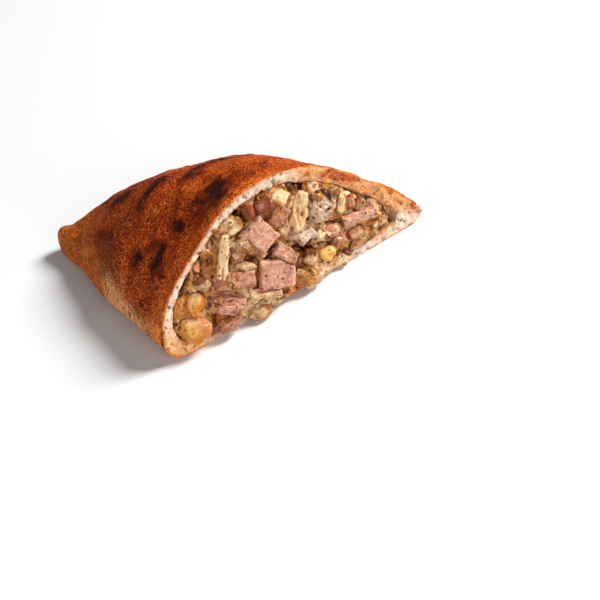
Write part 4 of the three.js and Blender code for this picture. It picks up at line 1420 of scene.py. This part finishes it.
# Bits that lie on the larger pieces too. All others lie only on the mass between them.
EVERYWHERE = {"oil_drops", "herb_flakes", "pepper_specks"}
BITS = {
    # piece: (slot, shape, per square metre, smallest and largest in mm, stretch, sink, seed)
    "ham_crumbs": ("ham", "chip", 52000, 0.7, 2.3, (1.0, 0.75, 0.5), -0.08, 3),
    "ham_shreds": ("cooked_ham", "thread", 14000, 2.0, 4.6, (1.0, 1.0, 0.7), -0.02, 9),
    "mushroom_crumbs": ("mushroom", "chip", 40000, 0.7, 2.3, (1.0, 0.7, 0.4), -0.08, 4),
    "cheese_crumbs": ("cheese", "ball", 30000, 0.6, 1.8, (1.0, 0.8, 0.55), -0.12, 5),
    "cheese_threads": ("cheese", "thread", 9000, 2.4, 5.4, (1.0, 1.0, 0.8), -0.02, 10),
    "oil_drops": ("amber_cheese", "ball", 12000, 0.6, 1.6, (1.0, 0.8, 0.3), -0.05, 6),
    "herb_flakes": ("filling", "flake", 38000, 0.45, 1.1, (1.0, 0.55, 0.22), 0.0, 7),
    "pepper_specks": ("filling", "flake", 55000, 0.25, 0.55, (1.0, 0.85, 0.7), 0.0, 8),
}

# What each lumpy kind of bit starts from.
BODIES = {
    "chip": ("Cube", {"Size": (0.8, 0.8, 0.8), "Vertices X": 3, "Vertices Y": 3, "Vertices Z": 3}),
    "ball": ("UVSphere", {"Segments": 7, "Rings": 5, "Radius": 0.5}),
    "flake": ("IcoSphere", {"Radius": 0.5, "Subdivisions": 1}),
}


def random_between(tree, low, high, seed, kind="FLOAT"):
    node = add_node(tree, "FunctionNodeRandomValue", data_type=kind)
    shown = [socket for socket in node.inputs if socket.enabled]
    plug(shown[0], low)
    plug(shown[1], high)
    plug(node.inputs["Seed"], seed)
    return Value([socket for socket in node.outputs if socket.enabled][0])


def thread_shape(tree, shape):
    """A thin bent thread of about 1 long, with tapered ends."""
    side = 0.22 * (-1) ** shape * (0.5 + 0.25 * shape)
    path = made(tree, "GeometryNodeCurveQuadraticBezier", {
        "Resolution": 6, "Start": (-0.5, 0, -0.08), "Middle": (0.1 * shape - 0.15, side, 0.14),
        "End": (0.5, 0.05 * shape, -0.08)})
    ring = made(tree, "GeometryNodeCurvePrimitiveCircle", {"Resolution": 5, "Radius": 0.085}, "Curve")
    along = made(tree, "GeometryNodeSplineParameter", output="Factor")
    taper = along * (1.0 - along) * 2.8 + 0.3
    return made(tree, "GeometryNodeCurveToMesh", {
        "Curve": path, "Profile Curve": ring, "Scale": taper, "Fill Caps": True})


def lumpy_shape(tree, kind, shape):
    """A chip, ball or flake of about 1 across, bent out of shape."""
    solid, sizes = BODIES[kind]
    place = made(tree, "GeometryNodeInputPosition")
    field = made(tree, "ShaderNodeTexNoise", {"Vector": place, "Scale": 1.6, "Detail": 1.0, "W": 3.7 * shape},
                 "Color", noise_dimensions="4D")
    offset = vector_maths(tree, "SUBTRACT", field, (0.5, 0.5, 0.5))
    offset = vector_maths(tree, "MULTIPLY", offset, (1.4, 1.4, 1.4))
    body = made(tree, "GeometryNodeMesh" + solid, sizes, "Mesh")
    return made(tree, "GeometryNodeSetPosition", {"Geometry": body, "Offset": offset})


def bit_shapes(tree, kind, stretch, sink):
    """Four odd shapes of about 1 across, as instances: chips, balls, flakes or threads."""
    gather = add_node(tree, "GeometryNodeGeometryToInstance")
    for shape in range(4):
        odd = thread_shape(tree, shape) if kind == "thread" else lumpy_shape(tree, kind, shape)
        plug(gather.inputs[0], made(tree, "GeometryNodeTransform", {
            "Geometry": odd, "Translation": (0, 0, sink), "Scale": stretch}))
    return Value(gather.outputs[0])


def scatter_tree(name, kind, stretch, sink):
    """Scatters bits over the faces it's given."""
    tree = bpy.data.node_groups.new(name, "GeometryNodeTree")
    for label, socket in (("Geometry", "Geometry"), ("Density", "Float"), ("Smallest", "Float"),
                          ("Largest", "Float"), ("Seed", "Int"), ("Material", "Material")):
        tree.interface.new_socket(label, in_out="INPUT", socket_type="NodeSocket" + socket)
    tree.interface.new_socket("Geometry", in_out="OUTPUT", socket_type="NodeSocketGeometry")
    faces, density, smallest, largest, seed, material = [
        Value(socket) for socket in tree.nodes.new("NodeGroupInput").outputs[:6]]
    points = add_node(tree, "GeometryNodeDistributePointsOnFaces", {
        "Mesh": faces, "Density": density, "Seed": seed}).outputs
    tip = 0.15 if kind == "thread" else 0.5
    spin = random_between(tree, (-tip, -tip, 0.0), (tip, tip, math.tau), seed, "FLOAT_VECTOR")
    turned = made(tree, "FunctionNodeRotateRotation", {
        "Rotation": Value(points["Rotation"]), "Rotate By": spin}, rotation_space="LOCAL")
    bits = made(tree, "GeometryNodeInstanceOnPoints", {
        "Points": Value(points["Points"]), "Instance": bit_shapes(tree, kind, stretch, sink),
        "Pick Instance": True, "Rotation": turned, "Scale": random_between(tree, smallest, largest, seed)})
    bits = made(tree, "GeometryNodeStoreNamedAttribute", {
        "Geometry": bits, "Name": "shade", "Value": random_between(tree, 0.0, 1.0, seed)},
        data_type="FLOAT", domain="INSTANCE")
    real = made(tree, "GeometryNodeRealizeInstances", {"Geometry": bits})
    dressed = made(tree, "GeometryNodeSetMaterial", {"Geometry": real, "Material": material})
    plug(tree.nodes.new("NodeGroupOutput").inputs[0], dressed)
    return tree


def run_tree(piece, tree, **inputs):
    """Runs the tree on the piece and keeps the result as its plain mesh."""
    grow = piece.modifiers.new("grow", "NODES")
    grow.node_group = tree
    for item in tree.interface.items_tree:
        key = item.name.replace(" ", "_")
        if item.in_out == "INPUT" and key in inputs:
            grow[item.identifier] = inputs[key]
    bake_modifiers(piece)


def open_faces():
    """The faces seen from the cut, as one mesh for the whole filling and one for its mass alone."""
    corners, faces, start = [], [], 0
    for piece in SHAPED:
        mass_start = start
        places = vertex_places(piece)
        corners.append(places)
        faces += [[start + v for v in face.vertices] for face in piece.data.polygons]
        start += len(places)
    corners = np.concatenate(corners)
    near = [face for face in faces if corners[face[0]][1] < CUT_Y + FRONT_DEPTH]
    tree = BVHTree.FromPolygons([Vector(c) for c in corners], near)
    kept = []
    for face in near:
        a, b, c = (Vector(corners[v]) for v in face[:3])
        normal = (b - a).cross(c - a)
        if normal.dot(SIGHT) > 0.15 * normal.length:
            middle = (a + c) / 2 + SIGHT * 0.15 * MM
            if tree.ray_cast(middle, SIGHT, 40 * MM)[0] is None:
                kept.append(face)
    return faces_mesh(corners, kept), faces_mesh(corners, [face for face in kept if face[0] >= mass_start])


def faces_mesh(corners, faces):
    """A mesh of these faces alone."""
    used, back = np.unique(np.concatenate([np.array(face) for face in faces]), return_inverse=True)
    cuts = np.cumsum([0] + [len(face) for face in faces])
    mesh = bpy.data.meshes.new("open_faces")
    mesh.from_pydata(corners[used].tolist(), [], [back[a:b].tolist() for a, b in zip(cuts[:-1], cuts[1:])])
    return mesh


def bit_material(name, chosen):
    """The finish of one kind of bit, from its pale to its dark colour."""
    food, roughness, subsurface = {
        "ham_crumbs": ("ham", 0.4, 0.1),
        "ham_shreds": ("ham", 0.4, 0.1),
        "mushroom_crumbs": ("mushroom", 0.45, 0.05),
        "cheese_crumbs": ("cheese", 0.28, 0.15),
        "cheese_threads": ("cheese", 0.28, 0.15),
        "oil_drops": ("oil", 0.12, 0.2),
        "herb_flakes": ("herb", 0.7, 0.0),
        "pepper_specks": ("pepper", 0.75, 0.0),
    }[name]
    label = name.replace("_", " ").capitalize()
    look = Look(label, getattr(chosen, food), roughness, subsurface, 0.8 * MM)
    patch = look.mottle(700, 0.5, 0.15)
    look.lay(getattr(chosen, food + "_dark"), (look.mask("shade") + patch) * 0.5)
    return look.finish((patch, 0.12 * MM))


class CALZONE_OT_sprinkles(bpy.types.Operator):
    """Scatters crumbs, oil drops, herbs and pepper over the filling"""

    bl_idname = "calzone.sprinkles"
    bl_label = "Crumbs, herbs and pepper"

    def execute(self, context):
        chosen = settings("sprinkle")
        seen, seen_mass = open_faces()
        for name, (slot, kind, density, smallest, largest, stretch, sink, seed) in BITS.items():
            piece = new_piece(name, (seen if name in EVERYWHERE else seen_mass).copy())
            tree = scatter_tree(name.replace("_", " "), kind, stretch, sink)
            material = bit_material(name, chosen)
            run_tree(piece, tree, Density=density * chosen.amount, Smallest=smallest * MM,
                     Largest=largest * MM, Seed=seed, Material=material)
            move_vertices(piece, vertex_places(piece))
            finish_piece(piece, material, slot)
        bpy.data.meshes.remove(seen)
        bpy.data.meshes.remove(seen_mass)
        return {"FINISHED"}


# ---------------------------------------------------------------- stage

CAMERA_TARGET = Vector((-0.01616, -0.09576, 0.025))
CAMERA_BACK = Vector((-0.3065, -0.7155, 0.6278))
CAMERA_RIGHT = Vector((0.821, -0.533, -0.206))
CAMERA_DISTANCE = 0.7


def soft_light(name, place, aim, size, power):
    lamp = bpy.data.lights.new(name, "AREA")
    lamp.shape = "DISK"
    lamp.size = size
    lamp.energy = power
    light = bpy.data.objects.new(name, lamp)
    light.location = place
    light.rotation_euler = (Vector(aim) - Vector(place)).to_track_quat("-Z", "Y").to_euler()
    bpy.context.scene.collection.objects.link(light)


class CALZONE_OT_stage(bpy.types.Operator):
    """Sets the pale floor, the soft lights and the camera"""

    bl_idname = "calzone.stage"
    bl_label = "Floor, lights and camera"

    def execute(self, context):
        chosen = settings("stage")
        mesh = bpy.data.meshes.new("pale_floor")
        corners = ((-1, -1), (1, -1), (1, 1), (-1, 1))
        mesh.from_pydata([(x * FLOOR_HALF, y * FLOOR_HALF, 0) for x, y in corners], [], [(0, 1, 2, 3)])
        floor = new_piece("pale_floor", mesh)
        look = Look("Pale floor", chosen.floor, roughness=0.7)
        duller = [0.97 * part for part in look.colour[:3]]
        look.colour = mixed(look.tree, look.mottle(6, 0.5, 0.3) * 0.15, look.colour, (*duller, 1))
        mesh.materials.append(look.finish())

        soft_light("key_light", (2.20, -0.60, 2.05), (0, 0, 0.02), 1.2, chosen.key_power)
        soft_light("fill_light", (0.24, -2.35, 0.80), (0, -0.02, 0.02), 1.4, chosen.fill_power)
        soft_light("side_light", (-0.98, -0.42, 0.22), (0, -0.02, 0.02), 0.9, chosen.side_power)
        world = bpy.data.worlds.new("even_light")
        world.use_nodes = True
        tree = world.node_tree
        light = tree.nodes["Background"]
        light.inputs["Color"].default_value = (1, 1, 1, 1)
        light.inputs["Strength"].default_value = chosen.sky
        backdrop = made(tree, "ShaderNodeBackground", {
            "Color": (1, 1, 1, 1), "Strength": chosen.backdrop})
        seen = made(tree, "ShaderNodeLightPath", output="Is Camera Ray")
        surface = made(tree, "ShaderNodeMixShader", {0: seen, 1: Value(light.outputs[0]), 2: backdrop})
        plug(tree.nodes["World Output"].inputs["Surface"], surface)
        context.scene.world = world
        context.scene.view_settings.view_transform = "Standard"

        lens = bpy.data.cameras.new("camera")
        lens.lens = chosen.lens
        lens.sensor_width = 36
        camera = bpy.data.objects.new("camera", lens)
        back = CAMERA_BACK.normalized()
        right = (CAMERA_RIGHT - back * CAMERA_RIGHT.dot(back)).normalized()
        up = back.cross(right)
        camera.matrix_world = Matrix.Translation(CAMERA_TARGET + back * CAMERA_DISTANCE) @ Matrix(
            (right, up, back)).transposed().to_4x4()
        context.scene.collection.objects.link(camera)
        context.scene.camera = camera
        return {"FINISHED"}


# ---------------------------------------------------------------- add-on

SETTINGS = {
    "crust": CrustSettings,
    "filling": FillingSettings,
    "ham": HamSettings,
    "mushroom": MushroomSettings,
    "onion": OnionSettings,
    "cheese": CheeseSettings,
    "sprinkle": SprinkleSettings,
    "stage": StageSettings,
}
OPERATORS = (
    CALZONE_OT_ham,
    CALZONE_OT_mushroom,
    CALZONE_OT_onion,
    CALZONE_OT_cheese,
    CALZONE_OT_filling,
    CALZONE_OT_sprinkles,
    CALZONE_OT_crust,
    CALZONE_OT_stage,
)


class CALZONE_PT_panel(bpy.types.Panel):
    """Lists the steps that make the calzone half"""

    bl_idname = "CALZONE_PT_panel"
    bl_label = "Calzone half"
    bl_space_type = "VIEW_3D"
    bl_region_type = "UI"
    bl_category = "Calzone"

    def draw(self, context):
        for operator in OPERATORS:
            self.layout.operator(operator.bl_idname)
        for name, group in SETTINGS.items():
            box = self.layout.box()
            box.label(text=name.capitalize())
            for key in group.__annotations__:
                box.prop(settings(name), key)


def register():
    for group in SETTINGS.values():
        bpy.utils.register_class(group)
    for name, group in SETTINGS.items():
        setattr(bpy.types.Scene, "calzone_" + name, bpy.props.PointerProperty(type=group))
    for operator in OPERATORS:
        bpy.utils.register_class(operator)
    bpy.utils.register_class(CALZONE_PT_panel)


def unregister():
    bpy.utils.unregister_class(CALZONE_PT_panel)
    for operator in reversed(OPERATORS):
        bpy.utils.unregister_class(operator)
    for name, group in SETTINGS.items():
        delattr(bpy.types.Scene, "calzone_" + name)
        bpy.utils.unregister_class(group)


def main():
    register()
    bpy.ops.calzone.ham()
    bpy.ops.calzone.mushroom()
    bpy.ops.calzone.onion()
    bpy.ops.calzone.cheese()
    bpy.ops.calzone.filling()
    bpy.ops.calzone.sprinkles()
    bpy.ops.calzone.crust()
    bpy.ops.calzone.stage()


if __name__ == "__main__":
    main()
